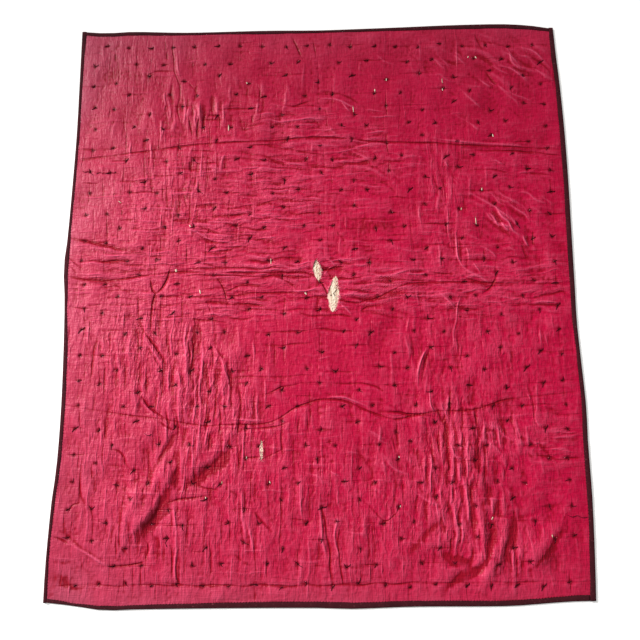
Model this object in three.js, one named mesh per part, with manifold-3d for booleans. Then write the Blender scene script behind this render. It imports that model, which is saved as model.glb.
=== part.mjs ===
// The under side of a signature quilt, lying face down: two widths of crimson sateen seamed up the
// middle, worn through to the cotton batting in three places, and bound all round with dark velvet.
//
// Frame: millimetres, +Z up, +Y towards the head end. The origin is the middle of the quilt's
// footprint, on the surface that it lies on. Lengths along an edge are read from short tables of
// [where, how far], because an old quilt's edges and folds are never quite straight.

import * as THREE from "three";
import { mergeVertices } from "three/addons/utils/BufferGeometryUtils.js";
import Module from "manifold-3d";

const wasm = await Module();
wasm.setup();

// ---- Driving dimensions ----

const LOFT = 6; // sateen, batting and patchwork together
const GAP = 0.3; // between pieces that touch
const WALL = 1.2; // the binding's folded velvet
const FOLD_ROOM = 1.5; // from the inside of the binding's fold to the quilt's squeezed edge
const TONGUE = [1.6, 4.9]; // the quilt's squeezed edge inside the binding, lowest and highest z
const BINDING_TOP = 6.6;
const BINDING_ROUND = 1.4; // the softened outer corners of the binding
const SHOWING = { left: 13, right: 19, head: 15, foot: 18 }; // width of each binding on the face
const RAMP = 5; // where the squeezed edge swells to full loft
const SQUEEZED = 2; // rows or columns of facets from the edge to full loft
const CELL = 40; // spacing of the cloth's facets
const BINDING_STEPS = 32; // facets along each binding
const FOLD_SHOULDER = 15; // from a fold's crest to its shoulders
const SHOULDER_SHARE = 0.3; // how much of a fold's rise its shoulders have
const ARC_STEPS = 8; // straight pieces along each side of a worn place

// The outline, corner to corner.
const LEFT_EDGE = [
  [-1014, -894], [-900, -895], [-700, -889], [-600, -881], [-450, -878], [-300, -880], [-100, -887],
  [0, -893], [100, -902], [200, -896], [400, -891], [600, -888], [800, -890], [1017, -893],
];
const RIGHT_EDGE = [
  [-1014, 886], [-900, 892], [-700, 899], [-500, 899], [-400, 902], [-200, 895], [-100, 892],
  [0, 894], [200, 897], [400, 900], [600, 900], [800, 895], [900, 890], [1017, 886],
];
const HEAD_EDGE = [
  [-893, 1017], [-800, 1011], [-700, 1016], [-500, 1011], [-200, 1017], [0, 1017], [100, 1020],
  [300, 1027], [500, 1035], [700, 1038], [800, 1031], [886, 1017],
];
const FOOT_EDGE = [
  [-894, -1014], [-800, -1024], [-700, -1038], [-600, -1036], [-300, -1033], [0, -1033], [100, -1036],
  [300, -1030], [600, -1029], [700, -1023], [800, -1016], [886, -1014],
];
// The seam between the two widths of sateen.
const SEAM = [
  [-1033, 26], [-800, 22], [-300, 19], [0, 16], [200, 17], [450, 21], [600, 12], [800, 3], [1017, -6],
];

// The three folds that cross the whole quilt, where it was folded away in quarters: y at each x.
const FOLDS = [
  { name: "lower", rise: 4.5, path: [[-894, -382], [-505, -434], [-294, -454], [-30, -393], [22, -366],
    [192, -413], [382, -432], [600, -376], [886, -330]] },
  { name: "middle", rise: 5, path: [[-894, 46], [-620, 62], [-478, 80], [-16, 70], [70, -20],
    [185, -25], [600, 38], [886, 40]] },
  { name: "upper", rise: 4, path: [[-894, 495], [-485, 561], [-9, 587], [375, 566], [886, 523]] },
];

// Creases that wander over part of the cloth: a soft ridge of that rise and half width along a path.
const CREASES = [
  { name: "left shoulder", rise: 4, spread: 22, path: [[-882, 203], [-743, 179], [-620, 157]] },
  { name: "left band", rise: 3, spread: 20, path: [[-878, 121], [-661, 113], [-532, 101]] },
  { name: "left hook", rise: 4, spread: 22, path: [[-522, 98], [-576, -4], [-587, -113]] },
  { name: "left slant", rise: 4, spread: 22, path: [[-627, -93], [-566, -167], [-519, -245]] },
  { name: "left upright", rise: 4, spread: 24, path: [[-444, -93], [-410, -269], [-403, -405]] },
  { name: "inner upright", rise: 3, spread: 22, path: [[-349, -187], [-315, -269], [-305, -357]] },
  { name: "corner swell", rise: 8, spread: 36, path: [[-636, -825], [-574, -735], [-518, -650],
    [-492, -545]] },
  { name: "corner swoop", rise: 4, spread: 24, path: [[-675, -915], [-556, -835], [-470, -940]] },
  { name: "corner slope", rise: 3, spread: 24, path: [[-878, -787], [-722, -868], [-675, -902]] },
  { name: "seam pleat", rise: 4, spread: 22, path: [[8, -700], [22, -830], [30, -930]] },
  { name: "foot pleat", rise: 4, spread: 20, path: [[46, -790], [60, -870], [74, -956]] },
  { name: "right arc", rise: 3, spread: 20, path: [[22, -311], [172, -315], [260, -359]] },
  { name: "right upright", rise: 4, spread: 22, path: [[362, -201], [341, -269], [328, -337]] },
  { name: "right runnel", rise: 4, spread: 22, path: [[480, 308], [484, 172], [505, 97], [606, 33]] },
  { name: "right ripple", rise: 4, spread: 24, path: [[654, 288], [688, 233], [762, 152]] },
  { name: "right swell", rise: 5, spread: 40, path: [[470, -560], [520, -700], [560, -800]] },
  { name: "head swell", rise: 5, spread: 34, path: [[586, 940], [681, 852], [871, 804]] },
  { name: "head upright", rise: 4, spread: 24, path: [[-539, 940], [-536, 859], [-512, 770]] },
];
const PATH_STEPS = 12; // straight pieces along each crease's path
const END_FADE = 0.1; // how far in from nothing the rise starts at a crease's ends

// Worn places, lens shaped along the cloth's warp: half length and half width.
const TEARS = [
  { name: "batting_upper", side: "left", at: [-6, 84], half: [38, 14], lean: 7 },
  { name: "batting_lower", side: "right", at: [52, -2], half: [64, 18], lean: -5 },
  { name: "batting_slit", side: "left", at: [-196, -537], half: [35, 5.5], lean: 0 },
];
const PIT_FLOOR = 2; // z of the bottom of a worn place
const BATTING_TOP = 5.4;
const BATTING_ROUND = 1;

// ---- Reading the tables ----

// A table's value at t: a smooth curve through its rows, which are in rising order.
function read(table, t) {
  const last = table.length - 1;
  let i = 0;
  while (i < last - 1 && t > table[i + 1][0]) i += 1;
  const slope = (k) => {
    const a = table[Math.max(k - 1, 0)];
    const b = table[Math.min(k + 1, last)];
    return (b[1] - a[1]) / (b[0] - a[0]);
  };
  const [t0, v0] = table[i];
  const [t1, v1] = table[i + 1];
  const span = t1 - t0;
  const s = THREE.MathUtils.clamp((t - t0) / span, 0, 1);
  const s2 = s * s;
  const s3 = s2 * s;
  return (2 * s3 - 3 * s2 + 1) * v0 + (s3 - 2 * s2 + s) * span * slope(i)
    + (3 * s2 - 2 * s3) * v1 + (s3 - s2) * span * slope(i + 1);
}

const creaseLines = CREASES.map((crease) => {
  const curve = new THREE.CatmullRomCurve3(crease.path.map(([x, y]) => new THREE.Vector3(x, y, 0)));
  return { ...crease, points: curve.getPoints(PATH_STEPS) };
});

// How high one crease lifts the cloth at a point: highest on its path, dying away at its ends.
function creaseLift(crease, point) {
  const foot = new THREE.Vector3();
  let nearest = Infinity;
  let along = 0;
  for (let i = 0; i < PATH_STEPS; i += 1) {
    const piece = new THREE.Line3(crease.points[i], crease.points[i + 1]);
    piece.closestPointToPoint(point, true, foot);
    const distance = foot.distanceTo(point);
    if (distance < nearest) {
      nearest = distance;
      along = (i + piece.closestPointToPointParameter(point, true)) / PATH_STEPS;
    }
  }
  const fade = Math.sqrt(Math.sin(Math.PI * THREE.MathUtils.lerp(END_FADE, 1 - END_FADE, along)));
  return crease.rise * fade * Math.exp(-((nearest / crease.spread) ** 2));
}

// ---- The two filled halves ----

// Even shares of the way from low to high, about a CELL apart, the last of them 1.
function evenly(low, high) {
  const count = Math.max(1, Math.round((high - low) / CELL));
  return Array.from({ length: count }, (_, i) => (i + 1) / count);
}

// Columns of a half, from its bound edge to the seam. Each gives x at a y.
function columnsOf(side) {
  const outward = side === "left" ? -1 : 1;
  const edge = side === "left" ? LEFT_EDGE : RIGHT_EDGE;
  const edgeX = (inset) => (y) => read(edge, y) - outward * inset;
  const seamX = (y) => read(SEAM, y) + outward * (GAP / 2);
  const inner = edgeX(SHOWING[side] + GAP + RAMP);
  const columns = [edgeX(WALL + FOLD_ROOM), edgeX(SHOWING[side] + GAP), inner];
  evenly(SHOWING[side] + RAMP, Math.abs(read(edge, 0))).forEach((share) => {
    columns.push((y) => THREE.MathUtils.lerp(inner(y), seamX(y), share));
  });
  return columns;
}

// Rows from foot to head, each giving y at an x. Every fold has a row on its crest and one on each
// side, so that the fold is sharp in the facets. lift is the fold's own rise there.
function rowsOf() {
  const rows = [];
  const footY = (inset) => (x) => read(FOOT_EDGE, x) + inset;
  const headY = (inset) => (x) => read(HEAD_EDGE, x) - inset;
  const add = (at, lift = 0) => rows.push({ at, lift });
  const fill = (from, to) => {
    const shares = evenly(from(0), to(0));
    shares.slice(0, -1).forEach((share) => add((x) => THREE.MathUtils.lerp(from(x), to(x), share)));
  };
  add(footY(WALL + FOLD_ROOM));
  add(footY(SHOWING.foot + GAP));
  let reached = footY(SHOWING.foot + GAP + RAMP);
  add(reached);
  FOLDS.forEach((fold) => {
    const below = (x) => read(fold.path, x) - FOLD_SHOULDER;
    const above = (x) => read(fold.path, x) + FOLD_SHOULDER;
    fill(reached, below);
    add(below, fold.rise * SHOULDER_SHARE);
    add((x) => read(fold.path, x), fold.rise);
    add(above, fold.rise * SHOULDER_SHARE);
    reached = above;
  });
  const last = headY(SHOWING.head + GAP + RAMP);
  fill(reached, last);
  add(last);
  add(headY(SHOWING.head + GAP));
  add(headY(WALL + FOLD_ROOM));
  return rows;
}

function asSolid(geometry) {
  const bare = new THREE.BufferGeometry().setAttribute("position", geometry.getAttribute("position"));
  if (geometry.index) bare.setIndex(geometry.index);
  const merged = mergeVertices(bare, 1e-3);
  return new wasm.Manifold(new wasm.Mesh({
    numProp: 3,
    vertProperties: merged.attributes.position.array,
    triVerts: new Uint32Array(merged.index.array),
  }));
}

function asGeometry(solid) {
  const mesh = solid.getMesh();
  return new THREE.BufferGeometry()
    .setAttribute("position", new THREE.BufferAttribute(new Float32Array(mesh.vertProperties), 3))
    .setIndex(new THREE.BufferAttribute(new Uint32Array(mesh.triVerts), 1));
}

// A closed slab between a top and a bottom sheet of the same rows and columns of points. Its flat
// underside, inside the squeezed edge, is one polygon.
function slab(top, bottom, mirrored) {
  const rows = top.length;
  const columns = top[0].length;
  const upper = (r, c) => r * columns + c;
  const lower = (r, c) => rows * columns + upper(r, c);
  const faces = [];
  const triangle = (a, b, c) => faces.push(...(mirrored ? [a, c, b] : [a, b, c]));
  const quad = (a, b, c, d) => {
    triangle(a, b, c);
    triangle(a, c, d);
  };
  for (let r = 0; r < rows - 1; r += 1) {
    for (let c = 0; c < columns - 1; c += 1) {
      quad(upper(r, c), upper(r, c + 1), upper(r + 1, c + 1), upper(r + 1, c));
      if (Math.min(r, rows - 2 - r, c) < SQUEEZED) {
        quad(lower(r, c), lower(r + 1, c), lower(r + 1, c + 1), lower(r, c + 1));
      }
    }
    quad(upper(r, 0), upper(r + 1, 0), lower(r + 1, 0), lower(r, 0));
    quad(upper(r, columns - 1), lower(r, columns - 1), lower(r + 1, columns - 1), upper(r + 1, columns - 1));
  }
  for (let c = 0; c < columns - 1; c += 1) {
    quad(upper(0, c), lower(0, c), lower(0, c + 1), upper(0, c + 1));
    quad(upper(rows - 1, c), upper(rows - 1, c + 1), lower(rows - 1, c + 1), lower(rows - 1, c));
  }
  const rim = [];
  const [near, far, seam] = [SQUEEZED, rows - 1 - SQUEEZED, columns - 1];
  for (let c = SQUEEZED; c < seam; c += 1) rim.push([near, c]);
  for (let r = near; r < far; r += 1) rim.push([r, seam]);
  for (let c = seam; c > SQUEEZED; c -= 1) rim.push([far, c]);
  for (let r = far; r > near; r -= 1) rim.push([r, SQUEEZED]);
  const outline = rim.map(([r, c]) => new THREE.Vector2(bottom[r][c][0], bottom[r][c][1]));
  THREE.ShapeUtils.triangulateShape(outline, []).forEach((corners) => {
    const [a, b, c] = corners.map((i) => lower(...rim[i]));
    triangle(...(THREE.ShapeUtils.isClockWise(outline) ? [a, b, c] : [a, c, b]));
  });
  return new THREE.BufferGeometry()
    .setAttribute("position", new THREE.Float32BufferAttribute([...top.flat(2), ...bottom.flat(2)], 3))
    .setIndex(faces);
}

function halfOf(side) {
  const columns = columnsOf(side);
  const rows = rowsOf();
  const top = [];
  const bottom = [];
  rows.forEach((row, r) => {
    const nearHeadOrFoot = Math.min(r, rows.length - 1 - r);
    const upperLine = [];
    const lowerLine = [];
    columns.forEach((column, c) => {
      const roughY = row.at(column(0));
      const y = row.at(column(roughY));
      const x = column(y);
      const squeezed = Math.min(nearHeadOrFoot, c) < SQUEEZED;
      const point = new THREE.Vector3(x, y, 0);
      const atRamp = Math.min(nearHeadOrFoot, c) === SQUEEZED;
      const lift = row.lift + creaseLines.reduce((sum, crease) => sum + creaseLift(crease, point), 0);
      upperLine.push([x, y, squeezed ? TONGUE[1] : LOFT + (atRamp ? 0 : lift)]);
      lowerLine.push([x, y, squeezed ? TONGUE[0] : 0]);
    });
    top.push(upperLine);
    bottom.push(lowerLine);
  });
  const whole = asSolid(slab(top, bottom, side === "right"));
  const worn = TEARS.filter((tear) => tear.side === side)
    .reduce((solid, tear) => solid.subtract(asSolid(pitOf(tear))), whole);
  return asGeometry(worn);
}

// ---- The worn places and the batting in them ----

// A lens with pointed ends, its length along +Y.
function lens([halfLength, halfWidth], inset) {
  const length = halfLength - 2 * inset;
  const bulge = 2 * (halfWidth - inset);
  const shape = new THREE.Shape().moveTo(0, -length);
  shape.quadraticCurveTo(bulge, 0, 0, length);
  shape.quadraticCurveTo(-bulge, 0, 0, -length);
  return shape;
}

function place(geometry, tear, z) {
  return geometry.rotateZ(THREE.MathUtils.degToRad(tear.lean)).translate(...tear.at, z);
}

function pitOf(tear) {
  const cut = new THREE.ExtrudeGeometry(lens(tear.half, 0), {
    depth: 4 * LOFT,
    bevelEnabled: false,
    curveSegments: ARC_STEPS,
  });
  return place(cut, tear, PIT_FLOOR);
}

function battingOf(tear) {
  const thick = BATTING_TOP - PIT_FLOOR - GAP;
  const pad = new THREE.ExtrudeGeometry(lens(tear.half, GAP), {
    depth: thick - 2 * BATTING_ROUND,
    bevelThickness: BATTING_ROUND,
    bevelSize: BATTING_ROUND,
    bevelOffset: -BATTING_ROUND,
    bevelSegments: 2,
    curveSegments: ARC_STEPS,
  });
  return place(pad, tear, PIT_FLOOR + GAP + BATTING_ROUND);
}

// ---- The binding ----

// The binding's section, as [distance in from the outline, z]: velvet folded over the edge.
function bindingSection(showing) {
  const channel = [TONGUE[0] - GAP, TONGUE[1] + GAP];
  return [
    [showing, 0], [showing, channel[0]], [WALL, channel[0]], [WALL, channel[1]],
    [showing, channel[1]], [showing, BINDING_TOP], [BINDING_ROUND, BINDING_TOP],
    [0, BINDING_TOP - BINDING_ROUND], [0, BINDING_ROUND], [BINDING_ROUND, 0],
  ];
}

// One binding: its section carried along an edge, and closed at both ends. along lists where the
// sections stand, and spot turns a distance in from the outline and such a place into x and y.
function bindingOf(showing, along, spot, mirrored) {
  const section = bindingSection(showing);
  const count = section.length;
  const rings = along.map((t, s) => {
    const atEnd = s === 0 || s === along.length - 1;
    return section.map(([inset, z]) => [...spot(inset, t, atEnd), z]);
  });
  const faces = [];
  const add = (a, b, c) => faces.push(...(mirrored ? [a, c, b] : [a, b, c]));
  for (let s = 0; s < rings.length - 1; s += 1) {
    for (let i = 0; i < count; i += 1) {
      const [a, b] = [s * count + i, s * count + ((i + 1) % count)];
      add(a, b, b + count);
      add(a, b + count, a + count);
    }
  }
  const flat = section.map(([inset, z]) => new THREE.Vector2(inset, z));
  const lastRing = (rings.length - 1) * count;
  THREE.ShapeUtils.triangulateShape(flat, []).forEach(([a, b, c]) => {
    add(c, b, a);
    add(a + lastRing, b + lastRing, c + lastRing);
  });
  return new THREE.BufferGeometry()
    .setAttribute("position", new THREE.Float32BufferAttribute(rings.flat(2), 3))
    .setIndex(faces);
}

function steps(from, to) {
  const shares = Array.from({ length: BINDING_STEPS + 1 }, (_, i) => i / BINDING_STEPS);
  return shares.map((share) => THREE.MathUtils.lerp(from, to, share));
}

// A side binding runs the whole length, and its ends follow the foot and head edges.
function sideBinding(side) {
  const outward = side === "left" ? -1 : 1;
  const edge = side === "left" ? LEFT_EDGE : RIGHT_EDGE;
  const [lowY, highY] = [edge[0][0], edge[edge.length - 1][0]];
  const spot = (inset, t, atEnd) => {
    const x = read(edge, t) - outward * inset;
    const y = atEnd ? read(t < 0 ? FOOT_EDGE : HEAD_EDGE, x) : t;
    return [x, y];
  };
  return bindingOf(SHOWING[side], steps(lowY, highY), spot, side === "left");
}

// A head or foot binding lies between the two side ones.
function endBinding(end) {
  const inward = end === "foot" ? 1 : -1;
  const edge = end === "foot" ? FOOT_EDGE : HEAD_EDGE;
  const endY = edge[0][1];
  const spot = (inset, t) => {
    const fromLeft = read(LEFT_EDGE, endY + inward * inset) + SHOWING.left + GAP;
    const fromRight = read(RIGHT_EDGE, endY + inward * inset) - SHOWING.right - GAP;
    const x = THREE.MathUtils.lerp(fromLeft, fromRight, t);
    return [x, read(edge, x) + inward * inset];
  };
  return bindingOf(SHOWING[end], steps(0, 1), spot, end === "head");
}

// ---- The quilt ----

const sateen = new THREE.MeshStandardMaterial({ color: 0xb5183c, roughness: 0.5, metalness: 0 });
const velvet = new THREE.MeshStandardMaterial({ color: 0x4a1018, roughness: 0.85, metalness: 0 });
const cotton = new THREE.MeshStandardMaterial({ color: 0xf3e2c8, roughness: 0.95, metalness: 0 });

const quilt = new THREE.Group();
function addPiece(name, geometry, material) {
  const mesh = new THREE.Mesh(geometry, material);
  mesh.name = name;
  quilt.add(mesh);
}

["left", "right"].forEach((side) => addPiece(`sateen_${side}`, halfOf(side), sateen));
TEARS.forEach((tear) => addPiece(tear.name, battingOf(tear), cotton));
["left", "right"].forEach((side) => addPiece(`binding_${side}`, sideBinding(side), velvet));
["head", "foot"].forEach((end) => addPiece(`binding_${end}`, endBinding(end), velvet));

export default quilt;
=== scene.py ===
# %% [markdown]
# # A signature quilt, lying face down
#
# The plain back of a bed quilt from about 1890: two widths of crimson cotton sateen, thin carded cotton
# batting, hundreds of dark thread ties, and a dark velvet binding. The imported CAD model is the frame:
# it says where each piece is, in metres, and every detailed piece below is fitted to it.

# %% Load the frame
import math

import bpy
import numpy as np
from mathutils import Matrix, Vector


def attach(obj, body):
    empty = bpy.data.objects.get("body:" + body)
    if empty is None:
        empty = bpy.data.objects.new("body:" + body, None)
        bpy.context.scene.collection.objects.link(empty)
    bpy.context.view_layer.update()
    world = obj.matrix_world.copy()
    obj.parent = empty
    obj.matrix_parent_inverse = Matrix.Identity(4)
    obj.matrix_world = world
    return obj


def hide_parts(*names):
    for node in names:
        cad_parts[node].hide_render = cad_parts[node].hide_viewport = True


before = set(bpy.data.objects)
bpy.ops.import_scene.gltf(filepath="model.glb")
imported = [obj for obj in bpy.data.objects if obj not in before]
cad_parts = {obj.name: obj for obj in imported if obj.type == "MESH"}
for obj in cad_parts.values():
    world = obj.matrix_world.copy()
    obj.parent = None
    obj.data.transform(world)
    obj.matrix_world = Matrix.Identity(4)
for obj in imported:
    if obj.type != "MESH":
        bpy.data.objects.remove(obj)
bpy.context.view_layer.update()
MM = 0.001

# %% [markdown]
# ## The camera
#
# A quilt is laid on a floor and seen from a ladder: nearly straight down, a little from the foot end, so
# that the foot looks wider than the head. The lens is close to the eye's own angle.

# %% Set up the camera
CAMERA_AT = (0.0112, -0.4596, 2.1115)
CAMERA_TILT, CAMERA_ROLL, CAMERA_YAW = 9.84, -0.23, 0.24  # degrees
LENS = 34.65

scene = bpy.context.scene
camera = bpy.data.objects.new("camera", bpy.data.cameras.new("camera"))
camera.data.lens = LENS
camera.data.sensor_width = 36.0
turn = (
    Matrix.Rotation(math.radians(CAMERA_YAW), 4, "Y")
    @ Matrix.Rotation(math.radians(CAMERA_TILT), 4, "X")
    @ Matrix.Rotation(math.radians(CAMERA_ROLL), 4, "Z")
)
camera.matrix_world = Matrix.Translation(CAMERA_AT) @ turn
scene.collection.objects.link(camera)
scene.camera = camera
scene.view_settings.view_transform = "Standard"
print("camera", round(CAMERA_AT[2], 2), "m up, lens", LENS, "mm")

# %% [markdown]
# ## Helpers
#
# Colours are written as sRGB hex values, as a painter reads them, and turned to linear light once. One
# small function adds a shader node with its settings and links, so that each material reads as a list
# of what it is made of.

# %% Colours and nodes
def linear(hex_colour):
    channels = [int(hex_colour[i : i + 2], 16) / 255 for i in (1, 3, 5)]
    return [c / 12.92 if c <= 0.04045 else ((c + 0.055) / 1.055) ** 2.4 for c in channels] + [1.0]


def add_node(tree, kind, inputs=None, **settings):
    """Add a node. inputs maps a socket's name or number to a value, or to the node or socket that
    feeds it."""
    node = tree.nodes.new(kind)
    for name, value in settings.items():
        setattr(node, name, value)
    for name, value in (inputs or {}).items():
        socket = node.inputs[name]
        value = value.outputs[0] if isinstance(value, bpy.types.Node) else value
        if isinstance(value, bpy.types.NodeSocket):
            tree.links.new(value, socket)
        else:
            socket.default_value = value
    return node


def new_material(name):
    material = bpy.data.materials.new(name)
    material.use_nodes = True
    material.node_tree.nodes.clear()
    return material, material.node_tree


def finish_material(tree, shader):
    add_node(tree, "ShaderNodeOutputMaterial", {"Surface": shader})


print("crimson in linear light", [round(c, 3) for c in linear("#b5173b")])

# %% [markdown]
# ## The outline
#
# The edge of an old quilt is never straight: it has bowed out between the places that it hung from. The
# CAD bindings hold that outline, so it is read from their outermost corners instead of being measured
# twice. The binding itself was turned over by hand, and its width wanders along each side.

# %% Read the outline from the CAD
CAD_OUTER_Z = 1.4  # mm, height of the outermost corners of the CAD binding's section
LEFT, RIGHT, HEAD, FOOT = "left", "right", "head", "foot"
SIDES = (LEFT, RIGHT, HEAD, FOOT)


def outline_rows(side):
    """(place along the side, place across it) of a binding's outermost corners, in mm."""
    corners = np.array([v.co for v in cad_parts[f"binding_{side}"].data.vertices]) / MM
    outer = corners[np.abs(corners[:, 2] - CAD_OUTER_Z) < 0.04]
    along, across = (1, 0) if side in (LEFT, RIGHT) else (0, 1)
    rows = np.unique(outer[:, [along, across]].round(2), axis=0)
    return rows[:, 0], rows[:, 1]


OUTLINE = {side: outline_rows(side) for side in SIDES}

# How wide the binding is on the face, in mm: (place along the side, width).
BINDING_WIDTHS = {
    LEFT: [(-1000, 12), (-850, 10), (-600, 13), (-400, 14), (-200, 15), (-50, 10), (60, 14), (130, 17),
           (220, 10), (500, 11), (800, 11), (900, 13), (1000, 17)],
    RIGHT: [(-1000, 20), (-800, 17), (-600, 18), (-400, 16), (-200, 14), (-50, 17), (200, 19), (400, 18),
        (600, 19), (800, 17), (900, 19), (1000, 18)],
    HEAD: [(-860, 15), (-700, 16), (-500, 12), (-400, 10), (-200, 15), (0, 11), (150, 12), (400, 16),
           (600, 19), (750, 18), (860, 16)],
    FOOT: [(-860, 13), (-800, 9), (-700, 13), (-500, 15), (-200, 19), (0, 20), (400, 18), (700, 17),
           (860, 19)],
}


def outline(side, along):
    return np.interp(along, *OUTLINE[side])


def binding_width(side, along):
    return np.interp(along, *np.array(BINDING_WIDTHS[side], float).T)


SEAM_HEAD_TO_FOOT = [(-1033, 26), (-800, 22), (-300, 19), (0, 16), (200, 17), (450, 21), (600, 12),
        (800, 3), (1017, -6)]


def seam_x(y):
    return np.interp(y, *np.array(SEAM_HEAD_TO_FOOT, float).T)


for side in SIDES:
    print(side, "edge has", len(OUTLINE[side][0]), "corners, binding about", BINDING_WIDTHS[side][3][1], "mm")

# %% [markdown]
# ## Where the ties are
#
# Each tie is one stitch of dark thread through all the layers, knotted on this side. The maker marked
# 10 inch blocks and set four ties around the middle of each, then one row all round close to the
# binding. The blocks drifted as the work went on, and no tie is quite on its mark.

# %% Lay out the ties
BLOCK = (126.0, 127.0)  # mm between block centres, each way; every second one is a block
TIE_FROM_CENTRE = 50.0
BORDER_TIE_STEP = 84.0
BORDER_X = 829.0
HEAD_BORDER_Y, FOOT_BORDER_Y = 951.0, -963.0
INNER_X, INNER_Y = 790.0, 925.0  # the blocks' ties stop short of the border's


def bump(x, y, at, reach):
    return np.exp(-(((x - at[0]) / reach[0]) ** 2) - ((y - at[1]) / reach[1]) ** 2)


def smooth_step(low, high, value):
    t = np.clip((value - low) / (high - low), 0, 1)
    return t * t * (3 - 2 * t)


def drifted(x, y):
    """Where a mark at x, y really came out."""
    dx = 2 + 14 * bump(x, y, (-560, -330), (190, 220)) + 9 * bump(x, y, (430, -650), (250, 250))
    dy = -10 + 19 * smooth_step(-100, 600, x) * smooth_step(0, 700, y)
    return x + dx, y + dy


def tie_places():
    rng = np.random.default_rng(11)
    marks = []
    for i in range(-6, 7):
        for j in range(-7, 8):
            if (i + j) % 2:
                continue
            for dx, dy in ((-1, 0), (1, 0), (0, -1), (0, 1)):
                x = i * BLOCK[0] + dx * TIE_FROM_CENTRE
                y = j * BLOCK[1] + dy * TIE_FROM_CENTRE
                if abs(x) < INNER_X and abs(y) < INNER_Y:
                    marks.append(drifted(x, y))
    for x in np.arange(-9.5, 10) * BORDER_TIE_STEP:
        marks.append((x, FOOT_BORDER_Y))
        marks.append((x, HEAD_BORDER_Y))
    for y in np.arange(-10, 11) * BORDER_TIE_STEP + 34:
        bow = 0.5 * (outline(LEFT, y) + 890), 0.5 * (outline(RIGHT, y) - 895)
        marks.append((-BORDER_X + bow[0], y))
        marks.append((BORDER_X + bow[1], y))
    return np.array(marks) + rng.normal(0, 4.0, (len(marks), 2))


TIES = tie_places()
print(len(TIES), "ties")
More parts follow.
